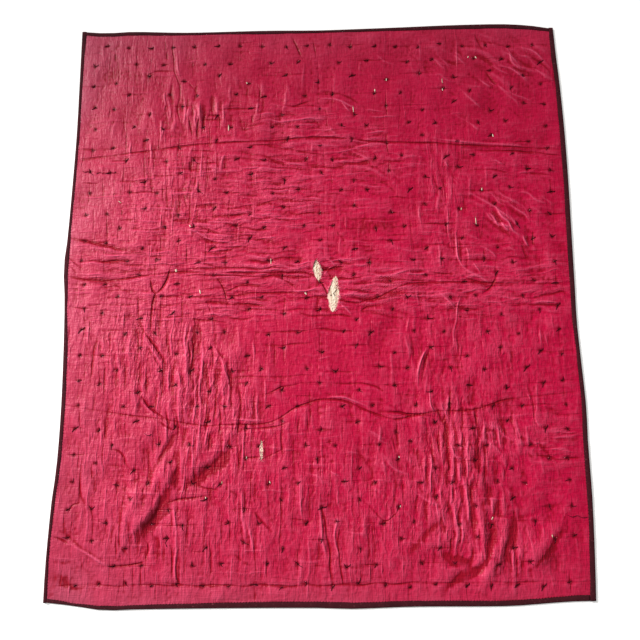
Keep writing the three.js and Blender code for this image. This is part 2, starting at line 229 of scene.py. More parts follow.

# %% [markdown]
# ## The creases
#
# Cloth that was folded away for years keeps its creases. Each one is a listed path over the cloth, with
# how high it stands (below zero for a furrow) and how far it spreads to each side. A short path is
# smoothed into a curve, and its height dies away at both ends.

# %% The main creases
# (rise in mm, spread in mm, path in mm from the middle of the quilt). A spread may be a pair, for the
# left and the right of the path.
CREASES = [
    # Beside the three long folds.
    (-1.6, 12, [(-560, 590), (-430, 586), (-300, 590), (-180, 596), (-60, 604)]),
    (-2.4, 5, [(560, 530), (680, 527), (780, 521), (878, 508)]),
    (1.6, 7, [(410, 575), (500, 567), (600, 556), (760, 545)]),
    (1.6, 4, [(-320, 82), (-250, 80), (-190, 83), (-120, 84)]),
    (-1.8, 4, [(-480, 92), (-430, 90), (-320, 94), (-200, 90), (-150, 96), (-90, 101)]),
    (-2.6, 4, [(-478, 64), (-440, 67), (-380, 66), (-320, 66), (-230, 60), (-140, 62), (-70, 64)]),
    (-1.5, 6, [(315, 72), (400, 70), (480, 68)]),
    (1.5, 5, [(-290, -433), (-230, -436), (-180, -437)]),
    (-1.8, 5, [(-320, -462), (-202, -464), (-147, -457), (-102, -441)]),
    (2.6, 5, [(40, -358), (80, -362), (120, -375), (165, -392)]),
    (-3.0, 6, [(200, -410), (260, -412), (320, -420), (385, -428)]),
    # Head end, left.
    (-2.0, 5, [(-548, 938), (-543, 900), (-538, 860), (-530, 835), (-514, 790)]),
    (1.6, 6, [(-532, 940), (-528, 880), (-516, 830)]),
    (-1.2, 5, [(-570, 930), (-568, 895)]),
    (-1.6, 5, [(-636, 838), (-600, 850), (-565, 855), (-538, 850)]),
    (-1.8, 6, [(-482, 802), (-468, 785), (-452, 768)]),
    (-1.6, 5, [(-515, 800), (-512, 750), (-520, 700), (-508, 650)]),
    (-1.8, 5, [(-482, 690), (-472, 640), (-464, 595)]),
    (-1.5, 5, [(-428, 690), (-425, 640), (-430, 600)]),
    (-1.8, 4, [(-408, 600), (-406, 650), (-402, 672), (-385, 675), (-368, 672), (-363, 640), (-362, 600)]),
    (-2.2, 24, [(-345, 800), (-290, 785), (-240, 762)]),
    (-1.4, 6, [(-380, 697), (-300, 698), (-225, 702)]),
    (-1.5, 6, [(-760, 925), (-756, 890)]),
    (-1.8, 10, [(-765, 985), (-755, 960), (-768, 940)]),
    (-1.0, 5, [(-876, 541), (-845, 541), (-806, 540)]),
    (2.0, 7, [(-560, 745), (-548, 700), (-546, 660)]),
    (2.2, 7, [(-494, 740), (-490, 690), (-494, 640)]),
    (2.2, 7, [(-446, 720), (-442, 680), (-448, 630)]),
    (1.8, 7, [(-580, 660), (-578, 610), (-574, 570)]),
    # Head end, middle.
    (-1.8, 12, [(-320, 632), (-230, 634), (-150, 640), (-60, 650)]),
    (1.8, 6, [(-200, 664), (-170, 652), (-140, 648), (-100, 650), (-50, 658), (0, 657)]),
    (-2.0, 5, [(-192, 554), (-150, 545), (-80, 532), (-30, 521), (6, 518)]),
    (2.4, 7, [(-172, 512), (-140, 500), (-115, 487), (-80, 480), (-30, 470)]),
    (-1.6, 7, [(-280, 530), (-230, 515), (-180, 505), (-120, 476)]),
    (-1.5, 6, [(-95, 705), (-60, 716), (-25, 727)]),
    (2.8, 6, [(8, 738), (40, 736), (70, 728), (100, 715), (132, 702)]),
    (1.8, 5, [(84, 722), (100, 702), (114, 689)]),
    (1.5, 5, [(178, 694), (245, 683)]),
    (1.3, 5, [(205, 613), (255, 602)]),
    (-1.8, 6, [(-98, 992), (-80, 945), (-60, 903)]),
    (-1.4, 5, [(-20, 985), (-12, 950), (-10, 905)]),
    (-1.8, 7, [(20, 763), (60, 756), (110, 741), (150, 722)]),
    (2.6, 8, [(90, 470), (140, 470), (200, 455), (240, 430), (272, 408)]),
    (-1.6, 6, [(80, 482), (150, 486), (212, 500)]),
    (1.6, 7, [(125, 540), (160, 552), (205, 560), (260, 556)]),
    (1.3, 5, [(-80, 446), (-50, 435), (0, 435), (60, 433)]),
    (1.4, 6, [(-250, 462), (-190, 468), (-140, 463)]),
    # Head end, right.
    (4.2, 11, [(545, 936), (590, 928), (625, 914), (650, 892), (668, 868), (690, 855)]),
    (2.6, 9, [(690, 872), (740, 860), (800, 842), (872, 818)]),
    (-2.2, 9, [(590, 905), (635, 882), (660, 850)]),
    (2.6, 9, [(728, 957), (760, 941), (790, 919), (818, 904)]),
    (2.4, 8, [(822, 902), (850, 870), (874, 838)]),
    (1.8, 8, [(604, 1000), (640, 985), (672, 974)]),
    (-1.6, 8, [(600, 972), (640, 960), (692, 950)]),
    (1.8, 8, [(636, 843), (660, 820), (680, 798), (690, 772)]),
    (1.6, 10, [(412, 946), (450, 935), (492, 919)]),
    (1.4, 7, [(434, 897), (455, 870), (472, 854)]),
    (2.0, 8, [(832, 832), (874, 800)]),
    (1.8, 8, [(520, 965), (532, 945), (548, 920)]),
    (1.0, 5, [(518, 985), (515, 900), (518, 800)]),
    (1.4, 7, [(636, 492), (668, 474)]),
    (-1.1, 5, [(500, 456), (600, 455), (700, 442), (800, 438), (860, 426)]),
    (1.5, 6, [(430, 456), (428, 398)]),
    (1.5, 6, [(460, 486), (474, 466)]),
    (1.4, 6, [(478, 425), (502, 403)]),
    # Middle, left.
    (-3.0, 7, [(-882, 204), (-850, 198), (-800, 185), (-750, 172), (-700, 161), (-645, 156)]),
    (-2.2, 5, [(-882, 128), (-840, 120), (-760, 118), (-700, 120), (-640, 111)]),
    (-2.0, 5, [(-880, 128), (-850, 108), (-826, 92)]),
    (-1.5, 6, [(-880, 106), (-852, 78)]),
    (-1.8, 4, [(-705, 108), (-640, 103), (-570, 106), (-512, 105)]),
    (-1.8, 14, [(-800, 94), (-700, 84), (-620, 84), (-560, 96)]),
    (-2.6, 5, [(-872, 62), (-800, 52), (-720, 52), (-660, 60), (-606, 67)]),
    (-1.6, 6, [(-825, 23), (-760, 25), (-710, 29), (-680, 10)]),
    (-1.2, 5, [(-820, 40), (-740, 38), (-690, 33)]),
    (-3.2, 7, [(-524, 100), (-534, 62), (-550, 26), (-573, 0)]),
    (-2.6, 5, [(-592, 56), (-585, 22), (-573, 0)]),
    (-3.8, 7, [(-573, 2), (-580, -30), (-585, -80), (-581, -128)]),
    (-2.8, 18, [(-676, 22), (-655, -5), (-625, -20), (-596, -26)]),
    (-1.6, 5, [(-640, -61), (-560, -57), (-500, -62)]),
    (-1.4, 5, [(-562, -42), (-500, -36), (-452, -30)]),
    (-1.8, 5, [(-562, -12), (-500, -9), (-440, -10), (-332, -6)]),
    (-3.2, 6, [(-624, -98), (-602, -138), (-570, -180), (-526, -250)]),
    (-2.0, 5, [(-592, -186), (-566, -225), (-538, -268)]),
    (2.2, 6, [(-598, -166), (-572, -202), (-544, -240)]),
    (-1.2, 4, [(-675, -78), (-672, -132)]),
    (-1.8, 6, [(-446, -108), (-450, -150), (-441, -230), (-437, -276)]),
    (-3.8, 16, [(-428, -88), (-421, -160), (-411, -250), (-400, -310), (-404, -400)]),
    (2.4, 7, [(-460, -95), (-462, -160), (-455, -250), (-452, -330)]),
    (1.6, 5, [(-437, 350), (-446, 302), (-455, 262)]),
    (2.6, 6, [(-464, 233), (-445, 228), (-415, 211), (-386, 196)]),
    (-2.0, 5, [(-440, 224), (-410, 201), (-375, 190), (-320, 185)]),
    (-1.8, 5, [(-430, 246), (-380, 226), (-335, 215), (-280, 212)]),
    (-1.5, 5, [(-420, 120), (-385, 104), (-340, 96), (-290, 92)]),
    (-1.8, 5, [(-378, 68), (-358, 55), (-345, 35), (-330, 8), (-320, -25), (-318, -62)]),
    (-1.6, 5, [(-392, -22), (-380, -55), (-368, -86)]),
    (2.0, 7, [(-366, -186), (-336, -228), (-316, -290), (-300, -350)]),
    (-3.0, 8, [(-350, -200), (-322, -240), (-304, -310), (-300, -370), (-288, -438)]),
    # Middle.
    (-2.2, 5, [(-334, -6), (-270, -5), (-230, -1), (-180, 3), (-100, 3), (-48, 3)]),
    (-1.3, 5, [(-258, -56), (-160, -58), (-100, -60), (-8, -52)]),
    (-1.4, 5, [(-320, 30), (-270, 34), (-220, 30), (-180, 36)]),
    (-1.6, 6, [(-160, 62), (-120, 48), (-80, 20)]),
    (-1.3, 5, [(-245, -136), (-170, -135), (-80, -134), (0, -130), (80, -134), (195, -140)]),
    (-1.4, 5, [(-188, -180), (-130, -183), (-100, -180), (-18, -175)]),
    (-1.1, 5, [(-300, -290), (-150, -291), (-10, -285)]),
    (-3.2, 8, [(4, 114), (20, 94), (34, 72), (46, 54)]),
    (1.8, 6, [(28, 128), (46, 112), (60, 90)]),
    (1.6, 5, [(20, 70), (32, 88), (50, 98)]),
    (1.8, 6, [(72, -38), (90, -52), (112, -72)]),
    (-2.6, 8, [(-6, 48), (-2, 0), (-8, -40), (-4, -70)]),
    (-1.6, 5, [(148, -62), (165, -50), (200, -45), (245, -43)]),
    (-1.3, 6, [(168, -74), (230, -80), (300, -92)]),
    (-1.2, 5, [(118, 14), (180, 18), (215, 8)]),
    (-1.2, 6, [(60, 230), (80, 205), (92, 190)]),
    # Middle, right.
    (1.4, 5, [(458, 315), (460, 260), (460, 205), (464, 165)]),
    (3.0, 6, [(486, 255), (484, 200), (484, 160), (488, 130), (503, 98)]),
    (2.2, 7, [(504, 97), (530, 76), (560, 56), (596, 34)]),
    (-1.8, 6, [(500, 62), (545, 42), (590, 28)]),
    (-2.0, 6, [(624, 62), (612, 40), (600, 18), (580, 2)]),
    (-1.6, 6, [(676, -10), (740, -22), (800, -8), (850, 2), (874, -14)]),
    (1.6, 5, [(742, -38), (790, -32), (834, -35)]),
    (-2.0, 5, [(732, -46), (790, -43), (838, -45)]),
    (1.6, 5, [(545, -40), (580, -32), (620, -35), (634, -43)]),
    (2.2, 6, [(426, -4), (450, -30), (478, -62)]),
    (2.2, 5, [(492, -18), (480, -60), (473, -100), (465, -140), (463, -192)]),
    (2.6, 6, [(366, -195), (352, -228), (342, -270), (334, -330)]),
    (-2.0, 7, [(376, -205), (364, -245), (352, -300)]),
    (1.8, 6, [(762, -130), (760, -205)]),
    (1.4, 5, [(777, -148), (786, -192)]),
    (1.6, 5, [(522, 166), (530, 135), (527, 108)]),
    (1.6, 5, [(545, 108), (562, 72)]),
    (3.2, 6, [(610, 288), (625, 270), (636, 246)]),
    (3.6, 7, [(635, 308), (650, 277), (675, 255), (690, 226), (714, 208)]),
    (2.6, 6, [(648, 258), (660, 235), (674, 224)]),
    (1.8, 7, [(682, 282), (700, 256), (716, 239)]),
    (2.8, 7, [(724, 207), (730, 186), (740, 168)]),
    (1.8, 8, [(754, 172), (761, 148)]),
    (1.6, 9, [(523, 346), (560, 330), (600, 308)]),
    (1.6, 10, [(655, 365), (700, 335), (735, 290)]),
    (1.4, 5, [(425, 178), (427, 130), (435, 86)]),
    (-1.0, 5, [(300, 118), (400, 120), (600, 118), (700, 125), (870, 121)]),
    (-1.0, 5, [(728, -206), (800, -208), (872, -205)]),
    (-1.2, 5, [(300, 248), (380, 252), (450, 250)]),
    # Foot end, left.
    (-3.0, 5, [(-607, -352), (-582, -387), (-545, -415), (-508, -436)]),
    (2.2, 5, [(-606, -374), (-578, -400), (-545, -428)]),
    (-2.2, 5, [(-542, -440), (-515, -458), (-494, -469)]),
    (-1.8, 4, [(-812, -400), (-810, -440), (-802, -482)]),
    (-1.8, 5, [(-706, -534), (-672, -540), (-652, -558), (-645, -580), (-628, -602)]),
    (8.5, (66, 20), [(-636, -832), (-619, -800), (-598, -774), (-562, -730), (-526, -680), (-508, -637),
        (-497, -585)]),
    (5.0, (44, 9), [(-606, -790), (-575, -745), (-538, -692), (-514, -645), (-505, -600)]),
    (-4.5, (14, 26), [(-596, -830), (-560, -770), (-510, -705), (-484, -650), (-470, -590), (-466, -540)]),
    (3.0, (30, 12), [(-566, -590), (-540, -540), (-515, -495), (-500, -462)]),
    (-4.0, (11, 14), [(-535, -572), (-516, -535), (-497, -500), (-486, -470)]),
    (4.0, 9, [(-446, -480), (-452, -540), (-462, -600), (-470, -662)]),
    (2.6, 5, [(-436, -520), (-446, -570), (-452, -630), (-458, -690)]),
    (10.0, (24, 52), [(-318, -512), (-366, -558), (-414, -598), (-444, -632)]),
    (-2.6, 6, [(-494, -702), (-460, -692), (-430, -690), (-400, -688), (-372, -685)]),
    (-1.6, 5, [(-422, -648), (-380, -658), (-332, -668)]),
    (2.6, 6, [(-482, -722), (-476, -770), (-470, -830), (-472, -900), (-468, -955)]),
    (-1.8, 5, [(-487, -840), (-480, -900), (-480, -945)]),
    (-1.8, 5, [(-462, -845), (-465, -930), (-450, -968)]),
    (-2.4, 12, [(-560, -808), (-532, -828), (-515, -860), (-498, -895)]),
    (2.6, 10, [(-560, -830), (-552, -862), (-538, -905)]),
    (-1.8, 5, [(-574, -822), (-562, -850), (-570, -882)]),
    (-2.0, 6, [(-878, -811), (-850, -820), (-828, -832)]),
    (-1.8, 9, [(-872, -778), (-840, -800), (-800, -830), (-760, -858), (-715, -882)]),
    (2.2, 7, [(-822, -832), (-780, -852), (-730, -880), (-698, -897)]),
    (-1.8, 8, [(-878, -888), (-850, -892), (-822, -896)]),
    (-3.2, 17, [(-876, -918), (-835, -940), (-800, -964), (-765, -976)]),
    (-2.2, 5, [(-674, -905), (-620, -900), (-590, -895), (-573, -889)]),
    (-2.2, 14, [(-752, -596), (-748, -640), (-746, -690)]),
    (-1.8, 6, [(-800, -616), (-795, -670), (-775, -712)]),
    (-1.4, 5, [(-828, -735), (-818, -712), (-796, -705)]),
    (-1.6, 6, [(-664, -818), (-645, -848), (-626, -866)]),
    (1.6, 6, [(-735, -428), (-738, -478), (-736, -530)]),
    (-1.6, 6, [(-722, -428), (-724, -500)]),
    (3.6, 14, [(-605, -640), (-620, -700), (-650, -760)]),
    # Foot end, middle.
    (-1.8, 5, [(-192, -353), (-160, -340), (-130, -325), (-100, -320), (-20, -310)]),
    (-2.0, 5, [(48, -312), (110, -315), (150, -315), (190, -325), (218, -342)]),
    (-1.6, 5, [(-45, -398), (-40, -440), (-37, -475)]),
    (-1.5, 5, [(-29, -400), (-32, -465)]),
    (-1.6, 6, [(-71, -425), (-73, -492)]),
    (-1.6, 6, [(-125, -448), (-128, -545)]),
    (-1.4, 5, [(-184, -562), (-150, -546), (-118, -528)]),
    (-1.6, 5, [(-262, -566), (-225, -562), (-200, -560)]),
    (1.6, 6, [(-52, -612), (-20, -615), (0, -625), (6, -642)]),
    (1.6, 5, [(28, -604), (45, -612), (62, -624)]),
    (-2.6, 6, [(7, -722), (15, -760), (25, -810), (32, -860), (35, -920), (38, -965)]),
    (2.4, 7, [(-4, -700), (4, -770), (12, -840), (18, -900)]),
    (3.0, 6, [(56, -758), (48, -800), (50, -840), (59, -876)]),
    (-1.8, 5, [(64, -795), (57, -838), (62, -880), (70, -930), (76, -962)]),
    (1.6, 6, [(-66, -678), (-62, -755)]),
    (1.3, 6, [(-36, -815), (-35, -950)]),
    (2.0, 7, [(-254, -730), (-246, -770), (-242, -805)]),
    (2.0, 7, [(-236, -755), (-226, -825), (-220, -862)]),
    (-1.4, 5, [(134, -688), (165, -720), (195, -750), (216, -766), (240, -750), (262, -722)]),
    (-1.5, 8, [(-330, -655), (-300, -665), (-262, -690)]),
    (-1.5, 8, [(-300, -862), (-262, -885), (-225, -905)]),
    (-1.4, 6, [(-215, -735), (-196, -762), (-150, -800)]),
    # Foot end, right.
    (-2.8, 7, [(398, -398), (406, -425), (418, -442), (430, -418)]),
    (3.0, (5, 7), [(373, -322), (375, -385), (386, -408)]),
    (2.2, 5, [(415, -400), (429, -420), (422, -450)]),
    (3.6, (9, 14), [(424, -450), (418, -500), (414, -560), (418, -600)]),
    (10.0, (20, 60), [(500, -402), (498, -465), (503, -536), (512, -600), (530, -645), (528, -720),
        (520, -770)]),
    (-2.6, 6, [(401, -455), (400, -510), (402, -560)]),
    (2.4, 6, [(433, -507), (451, -557), (474, -566)]),
    (2.4, 8, [(577, -536), (592, -560), (606, -579)]),
    (2.6, (7, 10), [(566, -690), (570, -752)]),
    (5.5, (12, 17), [(530, -765), (527, -810), (521, -860), (516, -895)]),
    (3.2, 8, [(441, -480), (440, -560), (438, -645)]),
    (-2.4, 7, [(430, -450), (429, -520), (430, -600)]),
    (2.4, 7, [(463, -575), (462, -645)]),
    (-2.4, 8, [(452, -560), (450, -640), (455, -700)]),
    (2.2, 7, [(486, -640), (484, -700), (487, -760)]),
    (3.6, 9, [(522, -645), (520, -700), (525, -780), (531, -836)]),
    (-2.6, 8, [(504, -640), (503, -720), (506, -790)]),
    (12.0, (18, 34), [(611, -752), (604, -795), (592, -835), (577, -888)]),
    (3.0, 8, [(571, -688), (568, -745)]),
    (1.8, 7, [(609, -600), (613, -655)]),
    (1.8, 8, [(588, -528), (600, -550), (617, -582)]),
    (-7.0, (16, 12), [(566, -785), (556, -840), (541, -885), (512, -915), (445, -945), (395, -990)]),
    (-6.0, (14, 20), [(800, -790), (745, -858), (690, -912)]),
    (-7.0, (20, 26), [(-300, -540), (-346, -586), (-396, -622), (-428, -648)]),
    (-3.5, 22, [(634, -750), (628, -800), (616, -860)]),
    (10.0, (24, 56), [(780, -782), (750, -830), (712, -880), (665, -912)]),
    (-1.0, (9, 14), [(577, -755), (663, -755), (720, -738), (764, -720), (807, -702), (860, -665)]),
    (-2.6, (12, 14), [(300, -856), (350, -805), (406, -757)]),
    (-2.2, 12, [(397, -867), (440, -889), (497, -896)]),
    (-2.2, 10, [(501, -400), (500, -475)]),
    (-1.8, 6, [(719, -368), (725, -400), (730, -448), (746, -462)]),
    (1.8, 6, [(738, -398), (731, -438), (748, -468)]),
    (1.6, 6, [(704, -352), (713, -372)]),
    (-1.5, 5, [(698, -560), (760, -561), (800, -571), (872, -560)]),
    (1.8, 9, [(686, -538), (720, -560), (755, -582)]),
    (2.0, 8, [(350, -540), (348, -600), (352, -660)]),
    (2.0, 8, [(380, -690), (375, -740), (380, -790)]),
    (2.2, 8, [(430, -800), (440, -850), (436, -900)]),
    (-2.0, 20, [(300, -900), (380, -880), (450, -905), (520, -915)]),
    (2.2, 9, [(592, -940), (582, -990)]),
    (2.2, 10, [(640, -900), (630, -950), (622, -1000)]),
    # The pull line of the foot row of ties.
    (-1.4, 5, [(-868, -962), (-500, -964), (0, -964), (300, -958), (870, -955)]),
]
# The three folds right across, where the quilt was folded in four. A row of the mesh lies on each.
LONG_FOLDS = [
    (-2.8, (5, 12), [(-876, 502), (-800, 512), (-702, 524), (-602, 537), (-511, 551), (-397, 562),
        (-302, 567),
        (-184, 571), (-93, 578), (-6, 585), (103, 577), (203, 567), (316, 562), (414, 560),
        (500, 552), (600, 547), (700, 542), (800, 536), (880, 530)]),
    (-2.4, (5, 5), [(-872, 62), (-815, 55), (-738, 53), (-670, 59), (-611, 67), (-540, 74), (-484, 80),
        (-393, 77), (-302, 76), (-229, 75), (-138, 76), (-70, 74), (-20, 66), (14, 30),
        (36, -14), (70, -24), (98, -31), (135, -35), (162, -26), (198, -19), (250, 6), (310, 32),
        (400, 38), (527, 38), (600, 35), (700, 31), (800, 31), (876, 28)]),
    (-2.0, (5, 7), [(-868, -383), (-806, -395), (-725, -407), (-647, -419), (-547, -430), (-443, -448),
        (-380, -455), (-320, -452), (-202, -450), (-147, -437), (-84, -397), (-38, -380),
        (10, -368), (71, -371), (116, -386), (157, -405), (198, -420), (253, -436), (320, -424),
        (402, -409), (482, -409), (536, -402), (582, -387), (618, -375), (686, -364),
        (755, -358), (868, -346)]),
]
CREASE_STEPS = 4  # straight pieces between two points of a path
LINE_LAYERS = 5  # lines that cross or lie close are kept in different layers
WIDEST_LINE = 7.5  # mm of spread past which a crease has no sharp line
CREASE_REACH = 4.5  # spreads from the path at which its lift has died away
CREASE_WANDER = 1.5  # mm that a crease strays from its path
# For a spread of 5 and of 12 mm: 1 is a round ridge, and less gives it a sharp crest and long flanks.
CREASE_SHARPNESS = ((5.0, 12.0), (0.62, 0.95))
WAVER, WAVER_EVERY = 0.3, 27.0  # how much a crease's height wavers, and mm for each radian of that
LINE_MARGIN, LINE_CLEARANCE = 5.0, 9.0  # mm kept beside a line, and kept free of other lines
LINE_FAR = 3.0  # line widths from a line at which nothing of it is left


def smooth_path(points):
    """A curve through the points (Catmull-Rom), as many short straight pieces."""
    p = np.array(points, float)
    p = np.vstack([2 * p[0] - p[1], p, 2 * p[-1] - p[-2]])
    t = np.arange(CREASE_STEPS)[:, None] / CREASE_STEPS
    pieces = []
    for a, b, c, d in zip(p, p[1:], p[2:], p[3:]):
        pieces.append(0.5 * (2 * b + (c - a) * t + (2 * a - 5 * b + 4 * c - d) * t**2
                             + (3 * b - a - 3 * c + d) * t**3))
    return np.vstack([*pieces, p[-2:-1]])


def add_creases(lift, x, y, creases, lines=None):
    """Lift the points by each crease: most on its path, dying away at its ends. Its spread may be a
    pair, for the left and the right of the path. lines, if given, keeps the sharp line of each."""
    order = np.argsort(x)
    sorted_x = x[order]
    for rise, spread, path in creases:
        left, right = spread if isinstance(spread, tuple) else (spread, spread)
        line = smooth_path(path)
        reach = CREASE_REACH * max(left, right)
        low, high = line.min(0) - reach, line.max(0) + reach
        first, last = np.searchsorted(sorted_x, (low[0], high[0]))
        near = order[first:last]
        near = near[(y[near] > low[1]) & (y[near] < high[1])]
        if not len(near):
            continue
        px, py = x[near], y[near]
        nearest, along, side = np.full(len(near), np.inf), np.zeros(len(near)), np.zeros(len(near))
        for i, (a, b) in enumerate(zip(line, line[1:])):
            step = b - a
            t = np.clip(((px - a[0]) * step[0] + (py - a[1]) * step[1]) / (step @ step), 0, 1)
            away = (px - a[0] - t * step[0]) ** 2 + (py - a[1] - t * step[1]) ** 2
            closer = away < nearest
            nearest[closer] = away[closer]
            along[closer] = (i + t[closer]) / (len(line) - 1)
            side[closer] = np.sign(step[0] * (py - a[1]) - step[1] * (px - a[0]))[closer]
        length = np.hypot(*(line[1:] - line[:-1]).T).sum()
        wavering = 0.85 + WAVER * np.sin(along * length / WAVER_EVERY + line[0, 1])
        fade = np.sin(np.pi * (0.04 + 0.92 * along)) ** 0.7 * wavering
        wide = np.where(side > 0, left, right)
        sharpness = np.interp(min(left, right), *CREASE_SHARPNESS)
        lift[near] += rise * fade * np.exp(-((nearest / wide**2) ** sharpness))
        if lines is not None and min(left, right) <= WIDEST_LINE:
            keep_line(lines, near, side * np.sqrt(nearest), rise * fade, 0.9 * min(left, right))


def keep_line(lines, near, away, depth, width):
    """Keep how far each point is from a crease's line, in line widths, and how deep the line is, in
    the emptiest layer."""
    reach = width + LINE_MARGIN
    close, around = np.abs(away) < reach, np.abs(away) < reach + LINE_CLEARANCE
    if not close.any():
        return
    busy = [np.mean(layer["depth"][near[close]] != 0) for layer in lines]
    if min(busy) > 0.5:
        return
    layer = lines[int(np.argmin(busy))]
    away = np.clip(away / width, -LINE_FAR, LINE_FAR)
    free = around & (layer["depth"][near] == 0)
    layer["away"][near[free]] = away[free]
    wins = close & (np.abs(depth) > np.abs(layer["depth"][near]))
    layer["depth"][near[wins]] = depth[wins]
    layer["away"][near[wins]] = away[wins]


print(len(CREASES), "creases placed by hand")

# %% [markdown]
# ## Puckers
#
# Between the creases the cloth is never flat. It has puckered along the warp and the weft, because the
# batting shrank more than the sateen did. Each pucker is a short crease of its own. Too many to place by
# hand, they are drawn at random around soft spots, which say of what kind they are and how strong.

# %% Where the cloth is puckered
UPRIGHT, LEVEL, SLANT, LUMPY, BROAD = "upright", "level", "slant", "lumpy", "broad"
PULLED_UP, PULLED_ACROSS = "pulled up", "pulled across"
# kind: (angle from X and its scatter in degrees, least and most length, least and most spread in mm,
# bend as a share of the length, share that stand up, mm2 for each).
PUCKER_KINDS = {
    UPRIGHT: (90, 4, 45, 150, 5.0, 9.5, 0.020, 0.62, 820),
    LEVEL: (0, 4, 40, 150, 3.6, 7.0, 0.022, 0.55, 1000),
    SLANT: (-42, 12, 40, 130, 5.5, 12.0, 0.050, 0.66, 1300),
    LUMPY: (90, 5, 35, 90, 6.0, 10.5, 0.025, 0.58, 1150),
    BROAD: (88, 10, 90, 230, 14.0, 25.0, 0.070, 0.55, 5500),
    PULLED_UP: (90, 1.5, 50, 160, 2.6, 3.8, 0.008, 0.40, 2000),
    PULLED_ACROSS: (0, 1.5, 45, 150, 2.6, 3.8, 0.008, 0.50, 2000),
}
# For each kind: (middle x and y, reach along x and y, strength) of its spots.
PUCKER_SPOTS = {
    BROAD: [(480, -600, 110, 220, 2.1), (590, -820, 120, 120, 2.4), (-560, -640, 170, 200, 1.5),
        (-340, -330, 130, 200, 1.5), (-640, -250, 150, 130, 1.0), (-60, -700, 200, 250, 0.8),
        (170, -500, 150, 200, 0.6), (-470, 680, 130, 130, 0.7), (650, 300, 150, 160, 0.7)],
    LUMPY: [(-470, 690, 120, 110, 1.3), (-250, 720, 110, 100, 0.8), (-640, 640, 100, 120, 0.7),
        (-500, 440, 150, 110, 0.8), (-560, -700, 150, 160, 0.6), (500, -650, 110, 200, 1.2)],
    UPRIGHT: [(-650, -260, 200, 150, 0.45), (-430, -300, 120, 170, 1.1), (-300, -450, 90, 200, 0.8),
        (-60, -600, 230, 330, 0.2), (450, -560, 90, 190, 1.4), (330, -560, 110, 260, 0.4),
        (600, -480, 130, 150, 0.6), (600, -850, 160, 110, 0.7), (150, -820, 160, 160, 0.25),
        (480, -180, 180, 150, 0.4), (450, 350, 100, 260, 0.4), (700, -200, 150, 140, 0.3)],
    LEVEL: [(-330, 220, 170, 110, 0.9), (-150, 400, 200, 120, 0.55), (-150, 80, 300, 90, 0.8),
        (-300, -40, 200, 70, 0.8), (300, 0, 330, 70, 0.7), (700, 20, 200, 80, 0.5),
        (-700, 110, 180, 90, 0.5), (140, 520, 180, 120, 0.55), (-120, 640, 180, 80, 0.6),
        (780, -500, 110, 120, 0.5), (700, 480, 200, 110, 0.3)],
    SLANT: [(760, 880, 140, 110, 1.15), (620, 830, 130, 130, 0.7), (660, 290, 120, 130, 1.1),
        (760, 400, 140, 160, 0.5), (450, 900, 130, 100, 0.5), (200, 470, 130, 80, 0.5),
        (640, -560, 110, 110, 0.9), (250, -600, 120, 130, 0.5)],
    PULLED_UP: [(-640, -640, 260, 320, 0.6), (-300, -760, 260, 260, 0.5), (-560, 340, 260, 230, 0.5),
        (-620, -150, 240, 160, 0.7), (-700, 850, 160, 160, 0.3), (300, -750, 400, 260, 0.4)],
    PULLED_ACROSS: [(-560, 330, 270, 240, 0.6), (-150, 350, 250, 180, 0.5), (500, 100, 380, 220, 0.5),
        (-640, -60, 240, 140, 0.5)],
}
PUCKER_RISE = 1.95  # mm, of a pucker of strength 1
FLATTER_RIGHT = 0.35  # the right side lies this much flatter than the left
STRAY_PUCKERS = 1300
STRAY_STRENGTH = 0.3
LEAST_PUCKERED, MOST_PUCKERED = 0.35, 1.6  # strength of the finest lines, everywhere and at most


def draw_puckers():
    rng = np.random.default_rng(21)
    puckers = []

    def draw(kind, middle, strength):
        angle, scatter, least, most, thin, thick, bending, standing, _ = PUCKER_KINDS[kind]
        length = rng.uniform(least, most)
        angle = math.radians(angle + rng.normal(0, scatter))
        along = np.array([math.cos(angle), math.sin(angle)])
        aside = np.array([-along[1], along[0]])
        bend = rng.normal(0, bending) * length
        twist = rng.normal(0, 0.6 * bending) * length
        path = [middle - 0.5 * length * along, middle - 0.15 * length * along + (bend + twist) * aside,
                middle + 0.2 * length * along + (bend - twist) * aside, middle + 0.5 * length * along]
        up = rng.random() < standing
        rise = strength * PUCKER_RISE * rng.uniform(0.4, 1.35) * (1 if up else -0.85)
        rise *= 1 - FLATTER_RIGHT * smooth_step(50, 750, middle[0])
        puckers.append((rise, rng.uniform(thin, thick), path))

    for kind, spots in PUCKER_SPOTS.items():
        for x, y, reach_x, reach_y, strength in spots:
            for _ in range(int(math.pi * reach_x * reach_y / PUCKER_KINDS[kind][-1])):
                draw(kind, np.array((x, y)) + rng.normal(0, 0.6, 2) * (reach_x, reach_y), strength)
    for _ in range(STRAY_PUCKERS):
        kind = (UPRIGHT, LEVEL, PULLED_UP, PULLED_ACROSS)[rng.integers(4)]
        draw(kind, rng.uniform((-880, -1010), (880, 1010)), STRAY_STRENGTH)
    return puckers


PUCKERS = draw_puckers()
print(len(PUCKERS), "puckers")

# %% [markdown]
# Under all that lies a slow swell of the batting and a slight crumple. Both are noise that keeps only
# waves of about one width, which is made by filtering white noise by its wavelength.

# %% Noise of one width
SAMPLE = 3.0  # mm between samples of a pattern
PATTERN_SHAPE = (768, 640)  # samples along Y and X, more than the quilt needs


def pattern_of(seed, wide, long, evenness):
    """Noise with waves about wide mm along X and long mm along Y."""
    rng = np.random.default_rng(seed)
    ky = np.fft.fftfreq(PATTERN_SHAPE[0], SAMPLE)[:, None]
    kx = np.fft.fftfreq(PATTERN_SHAPE[1], SAMPLE)[None, :]
    keep = np.exp(-(((np.hypot(kx * wide, ky * long) - 1) / evenness) ** 2))
    pattern = np.fft.ifft2(np.fft.fft2(rng.standard_normal(PATTERN_SHAPE)) * keep).real
    return pattern / pattern.std()


